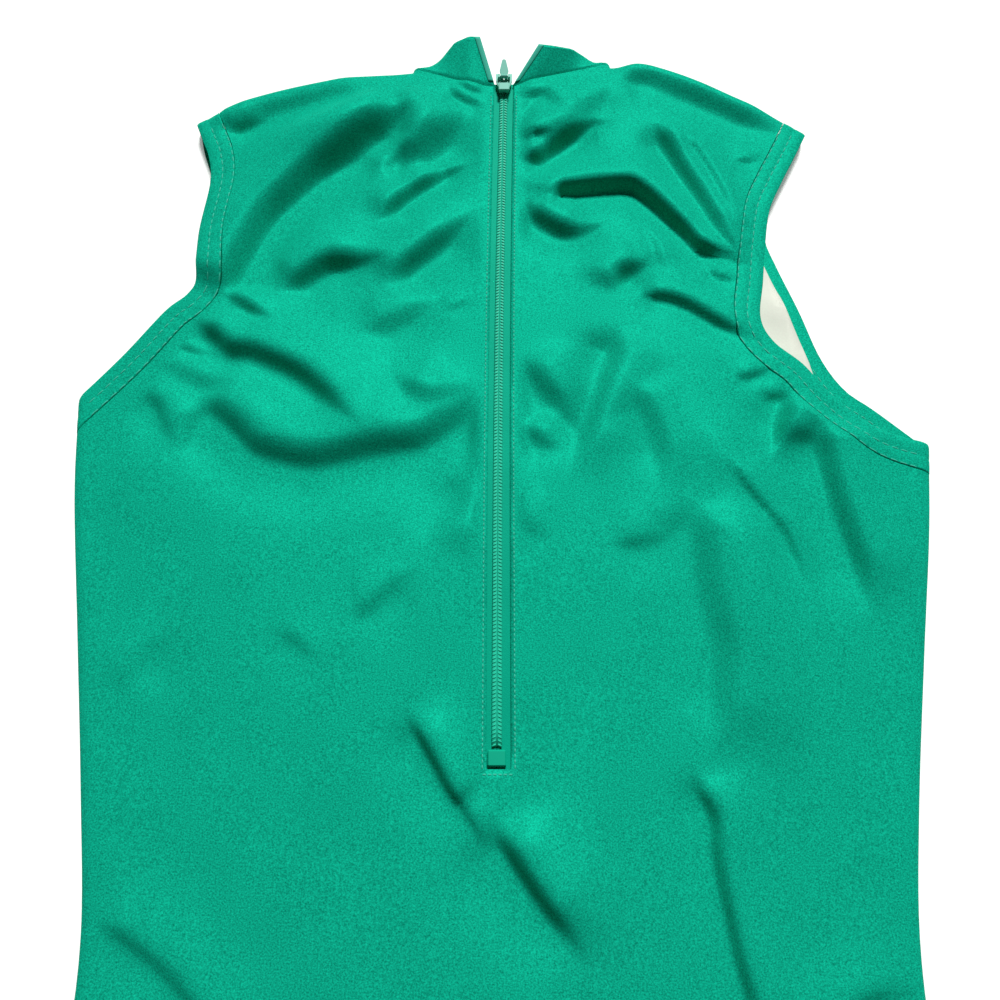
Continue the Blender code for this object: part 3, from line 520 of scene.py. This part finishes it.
EDGES = {name: edges(name, side) for name, side in SIDES}
PANEL_INSET = HEM_WIDTH + EDGE_GAP

# How finely each piece is divided, before it is made finer at the creases.
BACK_COUNTS = {"leg": 16, "side": 38, "armhole": 58, "neck": 12, "shoulder": 24}
FRONT_COUNTS = {"leg": 14, "side": 16, "armhole": 40, "neck": 12, "shoulder": 14}
LINING_COUNTS = {"leg": 20, "side": 14, "armhole": 40, "neck": 20}
CELL_LEAST = 1.8
CREASE_REACHES = (9.0, 1.5)
WINDOW_MARGIN = 0.5
ROLL_ROOM = 0.9


def panel_border(side_name, layer, counts, reach):
    """A panel's outer border on one side, from the crotch to the shoulder, just inside the hems."""
    leg, armhole = EDGES[side_name]["leg"][layer], EDGES[side_name]["armhole"][layer]
    seam = SEAMS["side " + side_name]
    low = PANEL_INSET * leg.end_reach
    high = seam.length - PANEL_INSET * armhole.start_reach
    return np.vstack([
        leg.inset(spaced(leg.line.length, counts["leg"], reach), PANEL_INSET),
        seam.at(np.linspace(low, high, counts["side"] + 1)[1:-1]),
        armhole.inset(spaced(armhole.line.length, counts["armhole"], reach), PANEL_INSET),
    ])


def neck_steps(length, counts, layer):
    """Distances along a neckline from the middle, with one beside the zip's tape on the back."""
    if layer == 1:
        return spaced(length, counts["neck"], FRONT_ROLL, start=False)
    beside = spaced(length - TAPE_STEP, counts["neck"], BACK_ROLL, start=False)
    return np.concatenate([[0.0, TAPE_STEP / 3, TAPE_STEP * 2 / 3], TAPE_STEP + beside])


NECKS = {
    ("left", 0): NECK_BACK_LEFT, ("right", 0): NECK_BACK_RIGHT,
    ("left", 1): NECK_FRONT_LEFT, ("right", 1): NECK_FRONT_RIGHT,
}


def top_line(side_name, layer, counts):
    """The points along the neckline and the shoulder, and each one's share of the way to the armhole."""
    neck, shoulder = Line(NECKS[side_name, layer]), SEAMS["shoulder " + side_name]
    armhole = EDGES[side_name]["armhole"][layer]
    tip = shoulder.length - PANEL_INSET * armhole.end_reach
    along_neck = neck_steps(neck.length, counts, layer)
    along_shoulder = np.linspace(0, tip, counts["shoulder"] + 1)[1:]
    points = np.vstack([neck.at(along_neck), shoulder.at(along_shoulder)])
    return points, np.concatenate([along_neck, neck.length + along_shoulder]) / (neck.length + tip)


def panel_net(layer, counts, reach, middle_top):
    """The points of one panel: rows from the crotch up, each from the left border to the right one."""
    borders = {name: panel_border(name, layer, counts, reach) for name, _ in SIDES}
    tops = {name: top_line(name, layer, counts) for name, _ in SIDES}
    middle = (borders["left"][:, 1] + borders["right"][:, 1]) / 2
    start = counts["leg"] + counts["side"] + 2 * len(ROLL_ANGLES) - 3
    over = (middle_top - middle[start]) / (middle[-1] - middle[start])
    middle[start:] = middle[start] + (middle[start:] - middle[start]) * over
    if layer == 0:
        middle[np.abs(middle - WINDOW_END).argmin()] = WINDOW_END
    rows = []
    for k, y in enumerate(middle):
        rise = max(0.0, (y - middle[start]) / (middle_top - middle[start])) ** 2
        halves = []
        for name, side in SIDES:
            points, shares = tops[name]
            inner = np.array((zip_x(y) + WINDOW_HALF * side if layer == 0 else 0.0, y))
            plain = inner + (borders[name][k] - inner) * shares[:, None]
            plain_top = points[0] + (borders[name][-1] - points[0]) * shares[:, None]
            half = plain + (points - plain_top) * rise
            way = half[-2] - half[-1]
            length = np.linalg.norm(way)
            room = min(1.0, ROLL_ROOM * length / reach)
            half = np.vstack([half[:-1], half[-1] + way / length * roll_steps(reach)[::-1, None] * room])
            halves.append(half)
        if layer == 0:
            centre = (halves[0][:1] + halves[1][:1]) / 2
            rows.append(np.vstack([halves[0][::-1], centre, halves[1]]))
        else:
            rows.append(np.vstack([halves[0][::-1], halves[1][1:]]))
    return np.array(rows)


def grid_mesh(net):
    """A grid of quads with its points put where the net says."""
    rows, columns = net.shape[:2]
    mesh = bmesh.new()
    bmesh.ops.create_grid(mesh, x_segments=columns - 1, y_segments=rows - 1, size=0.5)
    for v in mesh.verts:
        place = net[round((v.co.y + 0.5) * (rows - 1)), round((v.co.x + 0.5) * (columns - 1))]
        v.co = (*place, 0.0) if len(place) == 2 else place
    return mesh


def mesh_points(mesh):
    return np.array([(v.co.x, v.co.y) for v in mesh.verts])


def set_heights(mesh, heights):
    for v, z in zip(mesh.verts, heights):
        v.co.z = z


def finer_at_creases(mesh):
    """Halve the cells near the back's creases, once for each reach."""
    for reach in CREASE_REACHES:
        points = mesh_points(mesh)
        close = np.zeros(len(points), bool)
        for row, line in CREASE_LINES:
            room = row.width / 2 + reach
            near = line.around(points, room)
            if len(near):
                close[near] |= np.abs(line.nearest(points[near])[0]) < room
        mesh.verts.index_update()
        near = [e for e in mesh.edges if close[e.verts[0].index] and close[e.verts[1].index]]
        cut = [e for e in near if e.calc_length() > CELL_LEAST]
        bmesh.ops.subdivide_edges(mesh, edges=cut, cuts=1, use_grid_fill=True)
    bmesh.ops.triangulate(mesh, faces=[f for f in mesh.faces if len(f.verts) > 4])


def mesh_data(name, mesh):
    """A finished bmesh as one of Blender's own meshes."""
    data = bpy.data.meshes.new(name)
    mesh.to_mesh(data)
    mesh.free()
    return data


def put(name, data):
    """A new object in the scene."""
    made = bpy.data.objects.new(name, data)
    bpy.context.scene.collection.objects.link(made)
    return made


def add_piece(name, mesh, material, body="garment"):
    """Turn a mesh in millimetres into a piece in metres that rides on a body."""
    bmesh.ops.scale(mesh, verts=mesh.verts, vec=(MM, MM, MM))
    for face in mesh.faces:
        face.smooth = True
    piece = put(name, mesh_data(name, mesh))
    piece.data.materials.append(MATERIALS[material])
    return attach(piece, body)


def thicken(piece, wall):
    shell = piece.modifiers.new("Wall", "SOLIDIFY")
    shell.thickness = wall * MM
    shell.offset = 0.0
    return piece


def in_window(place):
    return place.y > WINDOW_END and abs(place.x - zip_x(place.y)) < WINDOW_HALF - WINDOW_MARGIN


def back_panel():
    """The back, open along the zip's window."""
    mesh = grid_mesh(panel_net(0, BACK_COUNTS, BACK_ROLL, NECK_BACK_Y))
    window = [face for face in mesh.faces if in_window(face.calc_center_median())]
    bmesh.ops.delete(mesh, geom=window, context="FACES")
    finer_at_creases(mesh)
    set_heights(mesh, back_height(mesh_points(mesh)))
    piece = thicken(add_piece("back_cloth", mesh, "knit"), CLOTH_SHELL)
    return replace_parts(piece, "back")


# The front lies on the floor, so its creases stand up from it and stay lower than the lining.
FRONT_CREASES = creases(
    ("chest crease left", (-120, 150, -86, 132, -44, 140), 9, 6, 12, 9, 1.0),
    ("chest crease right", (36, 176, 72, 152, 118, 158), 8, 6.5, 11, 9, 1.0),
    ("belly crease", (-66, 22, -20, 8, 40, 16), 10, 5, 13, 10, 1.0),
    ("hip crease left", (-128, -70, -96, -96, -64, -104), 9, 6, 11, 9, 1.0),
    ("hip crease right", (70, -90, 104, -72, 132, -60), 8, 6, 10, 9, 1.0),
)


def front_panel():
    """The front lies on the floor with its outer side down."""
    mesh = grid_mesh(panel_net(1, FRONT_COUNTS, FRONT_ROLL, NECK_FRONT_LEFT[0].y))
    bmesh.ops.reverse_faces(mesh, faces=mesh.faces)
    points = mesh_points(mesh)
    lines = [(row, Line(row.points)) for row in FRONT_CREASES]
    set_heights(mesh, front_height(points) + crease_height(points, lines))
    piece = thicken(add_piece("front_cloth", mesh, "knit"), CLOTH_SHELL)
    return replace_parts(piece, "front")


LINING_CELL = 6
LINING_CELL_START = 0.5
LINING_LOWEST = -0.3
LINING_CREASES = creases(("lining fold", (118, 190, 123, 178, 132, 165), 6, 26, 7, 6, 0.8))


def lining_net():
    """The lining's points: just short of the front's seams, and over the armholes' hems."""
    plain = HEM_WIDTH + LINING_GAP
    halves = []
    for name, side in SIDES:
        leg, armhole, seam = EDGES[name]["leg"][1], EDGES[name]["armhole"][1], SEAMS["side " + name]
        ends = LINING_SEAM_GAP + plain
        along = np.linspace(ends, seam.length - ends, LINING_COUNTS["side"] + 1)
        round_leg, round_hole = [
            np.linspace(LINING_SEAM_GAP, edge.line.length - LINING_SEAM_GAP, LINING_COUNTS[opening])
            for edge, opening in ((leg, "leg"), (armhole, "armhole"))
        ]
        lap = smooth((round_hole - LAP_START) / (LAP_FULL - LAP_START))
        neck = Line(NECKS[name, 1])
        up = np.linspace(neck.length - LINING_SEAM_GAP, 0, LINING_COUNTS["neck"] + 1)
        halves.append((
            np.vstack([
                leg.inset(round_leg, plain),
                seam.at(along) + turned(seam.direction(along)) * LINING_SEAM_GAP * side,
                armhole.inset(round_hole, plain + (LINING_OVER_HEM - plain) * lap[:, None]),
            ]),
            neck.at(up) - turned(neck.direction(up)) * side * LINING_GAP,
        ))
    return halves


def front_lining():
    """The lining lies on the front, with a soft fold where the armhole shows it."""
    (left, left_neck), (right, right_neck) = lining_net()
    mesh = bmesh.new()
    outline = np.vstack([right, right_neck[:-1], left_neck[::-1], left[::-1]])
    mesh.faces.new([mesh.verts.new((x, y, 0.0)) for x, y in outline])
    for way, low, high in ((Vector((1, 0, 0)), -180, 180), (Vector((0, 1, 0)), -330, 320)):
        for place in range(low, high, LINING_CELL):
            bmesh.ops.bisect_plane(mesh, geom=mesh.verts[:] + mesh.edges[:] + mesh.faces[:], dist=MERGE,
                                   plane_co=way * (place + LINING_CELL_START), plane_no=way)
    lines = [(row, Line(row.points)) for row in LINING_CREASES]
    points = mesh_points(mesh)
    set_heights(mesh, LINING_HEIGHT + np.maximum(crease_height(points, lines), LINING_LOWEST))
    piece = thicken(add_piece("lining_cloth", mesh, "lining"), CLOTH_SHELL)
    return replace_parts(piece, "front_lining")


HEM_ACROSS = (0.0, 0.35, 1.0, 2.4, 4.2, 5.4, 6.0, 6.6, 7.8, 9.6, 11.2, 12.0)
HEM_COUNTS = {"armhole": (96, 40), "leg": (40, 40)}
STITCH_ROWS = (6.0, 11.6)
STITCH_PITCH = 3.9
STITCH_WIDTH = 0.62
STITCH_HEIGHT = 0.42
STITCH_SIDES = 6
STITCH_PROUD = 0.1
STITCH_START = 1.0

# The hem's top: it drops at the fold, is pressed in along the stitches, and puckers between their rows in
# uneven waves.
HEM_PROUD = 0.25
HEM_DROP = 0.55
HEM_PRESS = 0.22
HEM_ROUND = 0.7
PUCKER = 0.14
PUCKER_INSET = 8.8
PUCKER_WIDE = 2.4
PUCKER_TURN = 0.74
PUCKER_DRIFT = 1.7
PUCKER_DRIFT_TURN = 0.11
FRONT_HEM_PROUD = 0.12


def hem_profile(inset, along):
    """How much the hem's top stands over the panel's."""
    edge = -HEM_DROP * falloff(inset, HEM_ROUND)
    press = -HEM_PRESS * sum(falloff(inset - row, HEM_ROUND) for row in STITCH_ROWS)
    wave = np.sin(along * PUCKER_TURN + PUCKER_DRIFT * np.sin(along * PUCKER_DRIFT_TURN))
    return edge + press + PUCKER * wave * falloff(inset - PUCKER_INSET, PUCKER_WIDE) + HEM_PROUD


def hem(side_name, opening):
    """A turned hem: a ring of cloth round an opening, over the back and under on the front."""
    back, front = EDGES[side_name][opening]
    back_count, front_count = HEM_COUNTS[opening]
    rows = []
    for d in spaced(back.line.length, back_count, BACK_ROLL):
        points = np.vstack([back.inset(d, w) for w in HEM_ACROSS])
        heights = back_height(points, 0.0) + hem_profile(np.array(HEM_ACROSS), d)
        rows.append(np.column_stack([points, heights]))
    for d in spaced(front.line.length, front_count, FRONT_ROLL)[1:-1][::-1]:
        points = np.vstack([front.inset(d, w) for w in HEM_ACROSS])
        heights = front_height(points, 0.0, HEM_SHELL) + FRONT_HEM_PROUD
        rows.append(np.column_stack([points, heights]))
    net = np.array(rows + rows[:1])
    if side_name == "right":
        net = net[:, ::-1]
    mesh = grid_mesh(net)
    bmesh.ops.remove_doubles(mesh, verts=mesh.verts, dist=MERGE)
    piece = thicken(add_piece(f"{opening}_hem_cloth_{side_name}", mesh, "knit"), HEM_SHELL)
    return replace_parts(piece, f"{opening}_hem_{side_name}")


def tube(centres, across, up, half_width, half_height, sides):
    """A tube along a line of points. Its section is an oval along the two ways given for each point."""
    angles = np.linspace(0, 2 * math.pi, sides + 1)
    wide, high = np.cos(angles)[None, :, None], np.sin(angles)[None, :, None]
    half_width, half_height = np.broadcast_arrays(half_width, half_height, np.zeros(len(centres)))[:2]
    net = centres[:, None] + across[:, None] * wide * half_width[:, None, None]
    net = net + up[:, None] * high * half_height[:, None, None]
    mesh = grid_mesh(net)
    bmesh.ops.remove_doubles(mesh, verts=mesh.verts, dist=MERGE)
    bmesh.ops.holes_fill(mesh, edges=[e for e in mesh.edges if e.is_boundary], sides=sides)
    bmesh.ops.recalc_face_normals(mesh, faces=mesh.faces)
    return mesh


# One stitch along its pitch: how far it has run, how thick it is there, and how deep it lies.
StitchStep = namedtuple("StitchStep", "run thick sunk")
STITCH_STEPS = (
    StitchStep(0.00, 0.45, 0.75),
    StitchStep(0.06, 0.8, 0.15),
    StitchStep(0.22, 1.0, 0.0),
    StitchStep(0.42, 1.0, -0.06),
    StitchStep(0.62, 1.0, 0.0),
    StitchStep(0.76, 0.8, 0.15),
    StitchStep(0.84, 0.45, 0.75),
)


def stitch_row(mesh, line_at, start, stop, pitch, height):
    """A sewn line: a thread that lies on the cloth for a stitch and dips under it, over and over."""
    starts = np.arange(start, stop - pitch, pitch)
    runs = (starts[:, None] + np.array([step.run for step in STITCH_STEPS]) * pitch).ravel()
    thick = np.tile([step.thick for step in STITCH_STEPS], len(starts))
    sunk = np.tile([step.sunk for step in STITCH_STEPS], len(starts))
    points = line_at(runs)
    centres = np.column_stack([points, height(points) - sunk])
    way = unit(np.gradient(centres, axis=0))
    across = unit(np.cross(way, (0, 0, 1.0)))
    half_width, half_height = thick * STITCH_WIDTH / 2, thick * STITCH_HEIGHT / 2
    made = tube(centres, across, np.cross(across, way), half_width, half_height, STITCH_SIDES)
    data = mesh_data("stitch row", made)
    mesh.from_mesh(data)
    bpy.data.meshes.remove(data)


def hem_stitches(side_name, opening):
    """The two rows of stitches round a hem's back half and its front half."""
    mesh = bmesh.new()
    back, front = EDGES[side_name][opening]
    proud = HEM_SHELL / 2 + STITCH_PROUD
    for edge, reach, height in (
        (back, BACK_ROLL, lambda p: back_height(p, 0.0) + proud),
        (front, FRONT_ROLL, lambda p: front_height(p, 0.0, HEM_SHELL) + proud),
    ):
        start, stop = reach + STITCH_START, edge.line.length - reach
        for row in STITCH_ROWS:
            stitch_row(mesh, lambda d: edge.inset(d, row), start, stop, STITCH_PITCH, height)
    return add_piece(f"{opening}_hem_stitches_{side_name}", mesh, "thread")


def neck_ring(side_name):
    """The collar's lower rows on one side, from the zip to the middle of the front, and its top edge."""
    back, front = Line(NECKS[side_name, 0]), Line(NECKS[side_name, 1])
    side = -1 if side_name == "left" else 1
    along = neck_steps(back.length, BACK_COUNTS, 0)
    low, out = back.at(along), turned(back.direction(along)) * side
    level = back_height(low, 0.0) + COLLAR_LIFT
    room = rolled(seam_distance(low), BACK_ROLL)
    along = neck_steps(front.length, FRONT_COUNTS, 1)[:-1][::-1]
    under = front.at(along) + turned(front.direction(along)) * side * COLLAR_GAP
    floor = np.column_stack([under, front_height(under, 0.0, HEM_SHELL)])
    rows = []
    for step in COLLAR_TUCK:
        over = low + out * (COLLAR_GAP + step.out * room)[:, None]
        rows.append(np.vstack([np.column_stack([over, level + step.up * room]), floor]))
    return rows, collar_top(side_name, np.linspace(0, 1, len(rows[-1])))


def collar_top(side_name, shares):
    """The collar's top edge at shares of the way from the zip to the middle of the front."""
    axes = [[getattr(row, side_name + axis) for row in COLLAR] for axis in ("_x", "_y", "_z")]
    return np.column_stack([np.interp(shares, [row.share for row in COLLAR], axis) for axis in axes])


COLLAR_STEPS = 14

# The collar's seam allowance, turned in under the back's neckline.
TuckStep = namedtuple("TuckStep", "out up")
COLLAR_TUCK = (TuckStep(-3.2, -1.7), TuckStep(-0.9, -1.2), TuckStep(0.0, 0.0))


def collar():
    """The stand collar: one band round the neck, open at the zip, with its lower edge tucked in."""
    left_rows, left_top = neck_ring("left")
    right_rows, right_top = neck_ring("right")
    rows = [np.vstack([right, left[::-1][1:]]) for right, left in zip(right_rows, left_rows)]
    base, top = rows[-1], np.vstack([right_top, left_top[::-1][1:]])
    net = np.array(rows[:-1] + [base + (top - base) * k / COLLAR_STEPS for k in range(COLLAR_STEPS + 1)])
    piece = thicken(add_piece("collar_cloth", grid_mesh(net), "knit"), HEM_SHELL)
    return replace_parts(piece, "collar")


# The bindings. They start and stop at these shares of the collar's height.
BINDING_HALF = 1.4
BINDING_THICK = 0.22
BINDING_RISE = 0.75
BINDING_SIDES = 10
BINDING_RINGS = 24
BINDING_START = 0.06
BINDING_STOP = 0.985


def collar_bindings():
    """The bound edges of the collar's opening, a lighter strip along each, from the neckline to the top."""
    for name, side in SIDES:
        rows, top = neck_ring(name)
        share = np.linspace(BINDING_START, BINDING_STOP, BINDING_RINGS)[:, None]
        edge = rows[-1][0] + (top[0] - rows[-1][0]) * share
        inner = rows[-1][1] + (top[1] - rows[-1][1]) * share
        across = unit(inner - edge)
        out = unit(np.cross(across, np.gradient(edge, axis=0))) * side
        middle = edge + across * BINDING_HALF + out * BINDING_RISE
        strip = tube(middle, across, out, BINDING_HALF, BINDING_THICK, BINDING_SIDES)
        add_piece("collar_binding_" + name, strip, "thread")


COIL_ROUND = 10
COIL_SIDES = 5
COIL_WIRE = 0.42
CORD_STEP = 4
CORD_SIDES = 10
COIL_UNDER_BACK = 0.5


def zip_heights(y):
    """The height of the underside of the back's wall beside the window at several places."""
    return back_height(np.column_stack([zip_x(y), y])) - COIL_UNDER_BACK


def zip_coil(side_name, side):
    """One row of the coil: a flattened helix of thick thread round a cord."""
    turns = int((COIL_STOP - COIL_START) / COIL_PITCH)
    share = np.linspace(0, turns, turns * COIL_ROUND + 1)
    angle = share * 2 * math.pi
    y = COIL_START + COIL_WIRE + share * COIL_PITCH
    across, rise = COIL_WIDTH / 2 - COIL_WIRE, COIL_HEIGHT / 2 - COIL_WIRE
    middle = coil_x(y) + side * (HALF_GAP + COIL_WIDTH / 2)
    level = zip_heights(y) + COIL_HEIGHT / 2
    centres = np.column_stack([middle + side * across * np.cos(angle), y, level + rise * np.sin(angle)])
    out = np.column_stack([side * np.cos(angle), np.zeros(len(y)), np.sin(angle)])
    along = np.tile((0.0, 1.0, 0.0), (len(y), 1))
    helix = tube(centres, along, out, COIL_WIRE, COIL_WIRE, COIL_SIDES)
    piece = add_piece("coil_row_" + side_name, helix, "coil")
    core = np.column_stack([coil_x(y) + side * COIL_WIDTH / 2, y, level])[::COIL_ROUND * CORD_STEP]
    flat, up = np.tile((1.0, 0.0, 0.0), (len(core), 1)), np.tile((0.0, 0.0, 1.0), (len(core), 1))
    add_piece("coil_cord_" + side_name, tube(core, flat, up, COIL_WIDTH / 2, rise, CORD_SIDES), "coil")
    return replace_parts(piece, "zip_coil_" + side_name)


WINDOW_SEWING = 1.5
WINDOW_STITCH_PITCH = 2.0
WINDOW_STITCH_STOP = 3.0
WINDOW_STITCH_PROUD = 0.02
WINDOW_FOOT = 1.9


def window_stitches():
    """The rows of stitches that hold the cloth to the tape, beside the window and across its foot."""
    mesh = bmesh.new()
    reach = WINDOW_HALF + WINDOW_SEWING
    length, foot = NECK_BACK_Y - WINDOW_END - WINDOW_STITCH_STOP, WINDOW_END - WINDOW_FOOT
    rows = [
        (lambda d: np.column_stack([zip_x(WINDOW_END + d) - reach, WINDOW_END + d]), length),
        (lambda d: np.column_stack([zip_x(WINDOW_END + d) + reach, WINDOW_END + d]), length),
        (lambda d: np.column_stack([ZIP_LOW_X - reach + d, np.full(len(d), foot)]),
         2 * reach + WINDOW_STITCH_PITCH / 2),
    ]
    for line_at, stop in rows:
        stitch_row(mesh, line_at, 0.0, stop, WINDOW_STITCH_PITCH,
                   lambda p: back_height(p) + CLOTH_SHELL / 2 + WINDOW_STITCH_PROUD)
    return add_piece("window_stitches", mesh, "thread")


def fill(tree, inputs, values):
    """Give sockets their values, or the links that come into them."""
    for name, value in values.items():
        if isinstance(value, bpy.types.NodeSocket):
            tree.links.new(value, inputs[name])
        else:
            inputs[name].default_value = value


def node(tree, kind, values=None, **settings):
    """A shader node with its settings and its filled sockets."""
    made = tree.nodes.new("ShaderNode" + kind)
    for name, value in settings.items():
        setattr(made, name, value)
    fill(tree, made.inputs, values or {})
    return made


def maths(tree, operation, *values):
    """What a Math node makes of its values."""
    return node(tree, "Math", dict(enumerate(values)), operation=operation).outputs[0]


# The knit's pattern. Its grain is drawn out a little across the garment. A wave of scale 1 is 0.32 m long.
GRAIN_DRAWN = (0.9, 1.0, 1.0)
WAVE_LENGTH = 0.32
TONE_SCALE = 45.0
TONE_LEAST = 0.92
TONE_CHANGE = 0.16
WALE_RELIEF = 0.06
ROUGH_LEAST = 0.38
ROUGH_CHANGE = 0.24
WALE_WIDTH = 0.0006
RELIEF = 0.0002
KNIT_SOCKETS = (
    ("INPUT", "Color", "Colour"),
    ("INPUT", "Float", "Grain Size"),
    ("INPUT", "Float", "Grain"),
    ("INPUT", "Float", "Wale Width"),
    ("OUTPUT", "Color", "Colour"),
    ("OUTPUT", "Float", "Height"),
    ("OUTPUT", "Float", "Roughness"),
)


def knit_group():
    """Fine knit: a glittering grain, faint wales, and a slow change of tone."""
    group = bpy.data.node_groups.new("fine knit", "ShaderNodeTree")
    for way, kind, label in KNIT_SOCKETS:
        group.interface.new_socket(label, in_out=way, socket_type="NodeSocket" + kind)
    given, out = group.nodes.new("NodeGroupInput").outputs, group.nodes.new("NodeGroupOutput").inputs
    place = node(group, "TexCoord").outputs["Object"]
    drawn = node(group, "VectorMath", {0: place, 1: GRAIN_DRAWN}, operation="MULTIPLY").outputs[0]
    fine = maths(group, "DIVIDE", 1.0, given["Grain Size"])
    noise = {"Vector": drawn, "Scale": fine, "Detail": 2.0, "Roughness": 0.7}
    grain = node(group, "TexNoise", noise).outputs["Fac"]
    slow = node(group, "TexNoise", {"Vector": place, "Scale": TONE_SCALE, "Detail": 2.0}).outputs["Fac"]
    wale = maths(group, "DIVIDE", WAVE_LENGTH, given["Wale Width"])
    wales = node(group, "TexWave", {"Vector": place, "Scale": wale, "Distortion": 0.6, "Detail": 1.0},
                 wave_type="BANDS", bands_direction="X").outputs["Fac"]
    swing = maths(group, "SUBTRACT", grain, 0.5)
    strong = maths(group, "MULTIPLY", swing, given["Grain"])
    tone = maths(group, "MULTIPLY_ADD", slow, TONE_CHANGE, TONE_LEAST)
    bright = maths(group, "ADD", strong, tone)
    shade = node(group, "CombineXYZ", {0: bright, 1: bright, 2: bright}).outputs[0]
    tinted = node(group, "VectorMath", {0: given["Colour"], 1: shade}, operation="MULTIPLY").outputs[0]
    height = maths(group, "MULTIPLY_ADD", wales, WALE_RELIEF, grain)
    rough = maths(group, "MULTIPLY_ADD", grain, ROUGH_CHANGE, ROUGH_LEAST)
    fill(group, out, {"Colour": tinted, "Height": height, "Roughness": rough})
    return group


# The finishes. grain and size are the knit group's, and a grainy one's roughness follows the grain too.
Finish = namedtuple(
    "Finish", "name colour roughness metallic grain size bump gloss grainy", defaults=(False,)
)
FINISHES = {
    "knit": Finish("emerald knit", (0.004, 0.41, 0.262), 0.6, 0.07, 2.2, 0.0006, 0.3, 0.0, True),
    "lining": Finish("white lining", (0.80, 0.84, 0.74), 0.8, 0.0, 0.1, 0.0006, 0.3, 0.5),
    "tape": Finish("zip tape", (0.001, 0.38, 0.245), 0.6, 0.1, 0.3, 0.0005, 0.5, 0.05),
    "coil": Finish("zip coil", (0.02, 0.56, 0.37), 0.45, 0.0, 0.1, 0.0005, 0.1, 0.15),
    "slider": Finish("mint paint", (0.15, 0.56, 0.44), 0.45, 0.0, 0.05, 0.0005, 0.05, 0.25),
    "stop": Finish("green moulding", (0.001, 0.42, 0.26), 0.45, 0.0, 0.05, 0.0005, 0.05, 0.2),
    "thread": Finish("mint thread", (0.05, 0.52, 0.38), 0.5, 0.0, 0.3, 0.0003, 0.4, 0.1),
}


def painted(name, values):
    """A material, and the filled sockets of its Principled shader."""
    material = bpy.data.materials.new(name)
    material.use_nodes = True
    shader = material.node_tree.nodes["Principled BSDF"].inputs
    fill(material.node_tree, shader, values)
    return material, shader


def surface(finish, pattern):
    """A finish's material, whose colour and bump come from the knit group."""
    colour = (*finish.colour, 1.0)
    material, shader = painted(finish.name, {
        "Base Color": colour, "Roughness": finish.roughness, "Metallic": finish.metallic,
        "Specular IOR Level": finish.gloss,
    })
    tree = material.node_tree
    grain = tree.nodes.new("ShaderNodeGroup")
    grain.node_tree = pattern
    fill(tree, grain.inputs, {
        "Colour": colour, "Grain": finish.grain, "Grain Size": finish.size, "Wale Width": WALE_WIDTH,
    })
    height = grain.outputs["Height"]
    relief = node(tree, "Bump", {"Height": height, "Strength": finish.bump, "Distance": RELIEF})
    fill(tree, shader, {"Base Color": grain.outputs["Colour"], "Normal": relief.outputs["Normal"]})
    if finish.grainy:
        tree.links.new(grain.outputs["Roughness"], shader["Roughness"])
    return material


FINE_KNIT = knit_group()
MATERIALS = {name: surface(finish, FINE_KNIT) for name, finish in FINISHES.items()}

CAMERA_PLACE = (0.0, -0.0059, 0.3126)
CAMERA_TILT = 16.8
CAMERA_LENS = 27.04
CAMERA_SENSOR = 36.0


def camera():
    """The photograph's view, nearly from above."""
    data = bpy.data.cameras.new("camera")
    data.lens = CAMERA_LENS
    data.sensor_width = CAMERA_SENSOR
    view = put("camera", data)
    view.location = CAMERA_PLACE
    view.rotation_euler = (math.radians(CAMERA_TILT), 0.0, 0.0)
    bpy.context.scene.camera = view


FLOOR_SIZE = 3.0
FLOOR_COLOUR = (0.95, 0.95, 0.95, 1.0)
FLOOR_ROUGHNESS = 0.9
FLOOR_GLOW = 0.25
FLOOR_GLOW_COLOUR = (1.0, 1.0, 1.0, 1.0)
KEY_PLACE = (0.9, 5.0, 6.2)
KEY_SIZE = 1.6
KEY_POWER = 760.0
KEY_COLOUR = (1.0, 0.99, 0.97)
WORLD_COLOUR = (0.04, 0.04, 0.04, 1.0)


def key_light():
    """A soft light that shines on the middle of the garment."""
    data = bpy.data.lights.new("key", "AREA")
    data.size = KEY_SIZE
    data.energy = KEY_POWER
    data.color = KEY_COLOUR
    lamp = put("key", data)
    lamp.location = KEY_PLACE
    lamp.rotation_euler = (-Vector(KEY_PLACE)).to_track_quat("-Z", "Y").to_euler()


def studio():
    """A plain white floor under soft light from beyond the collar."""
    mesh = bmesh.new()
    bmesh.ops.create_grid(mesh, x_segments=2, y_segments=2, size=FLOOR_SIZE)
    floor = put("floor", mesh_data("floor", mesh))
    material, _ = painted("white floor", {
        "Base Color": FLOOR_COLOUR, "Roughness": FLOOR_ROUGHNESS,
        "Emission Color": FLOOR_GLOW_COLOUR, "Emission Strength": FLOOR_GLOW,
    })
    floor.data.materials.append(material)
    key_light()
    world = bpy.data.worlds.new("studio")
    world.use_nodes = True
    world.node_tree.nodes["Background"].inputs["Color"].default_value = WORLD_COLOUR
    bpy.context.scene.world = world
    bpy.context.scene.view_settings.view_transform = "Standard"


def dress(node_name, material):
    """Give a CAD node that stays the material of its slot."""
    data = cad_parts[node_name].data
    data.materials.clear()
    data.materials.append(MATERIALS[material])


def main():
    """The whole garment in its studio."""
    back = back_panel()
    front = front_panel()
    lining = front_lining()
    hems = [hem(name, opening) for name, _ in SIDES for opening in ("armhole", "leg")]
    stitches = [hem_stitches(name, opening) for name, _ in SIDES for opening in ("armhole", "leg")]
    band = collar()
    collar_bindings()
    for name, side in SIDES:
        zip_coil(name, side)
        dress("zip_tape_" + name, "tape")
    window_stitches()
    dress("zip_bottom_stop", "stop")
    dress("zip_slider", "slider")
    dress("zip_pull", "slider")
    camera()
    studio()


main()
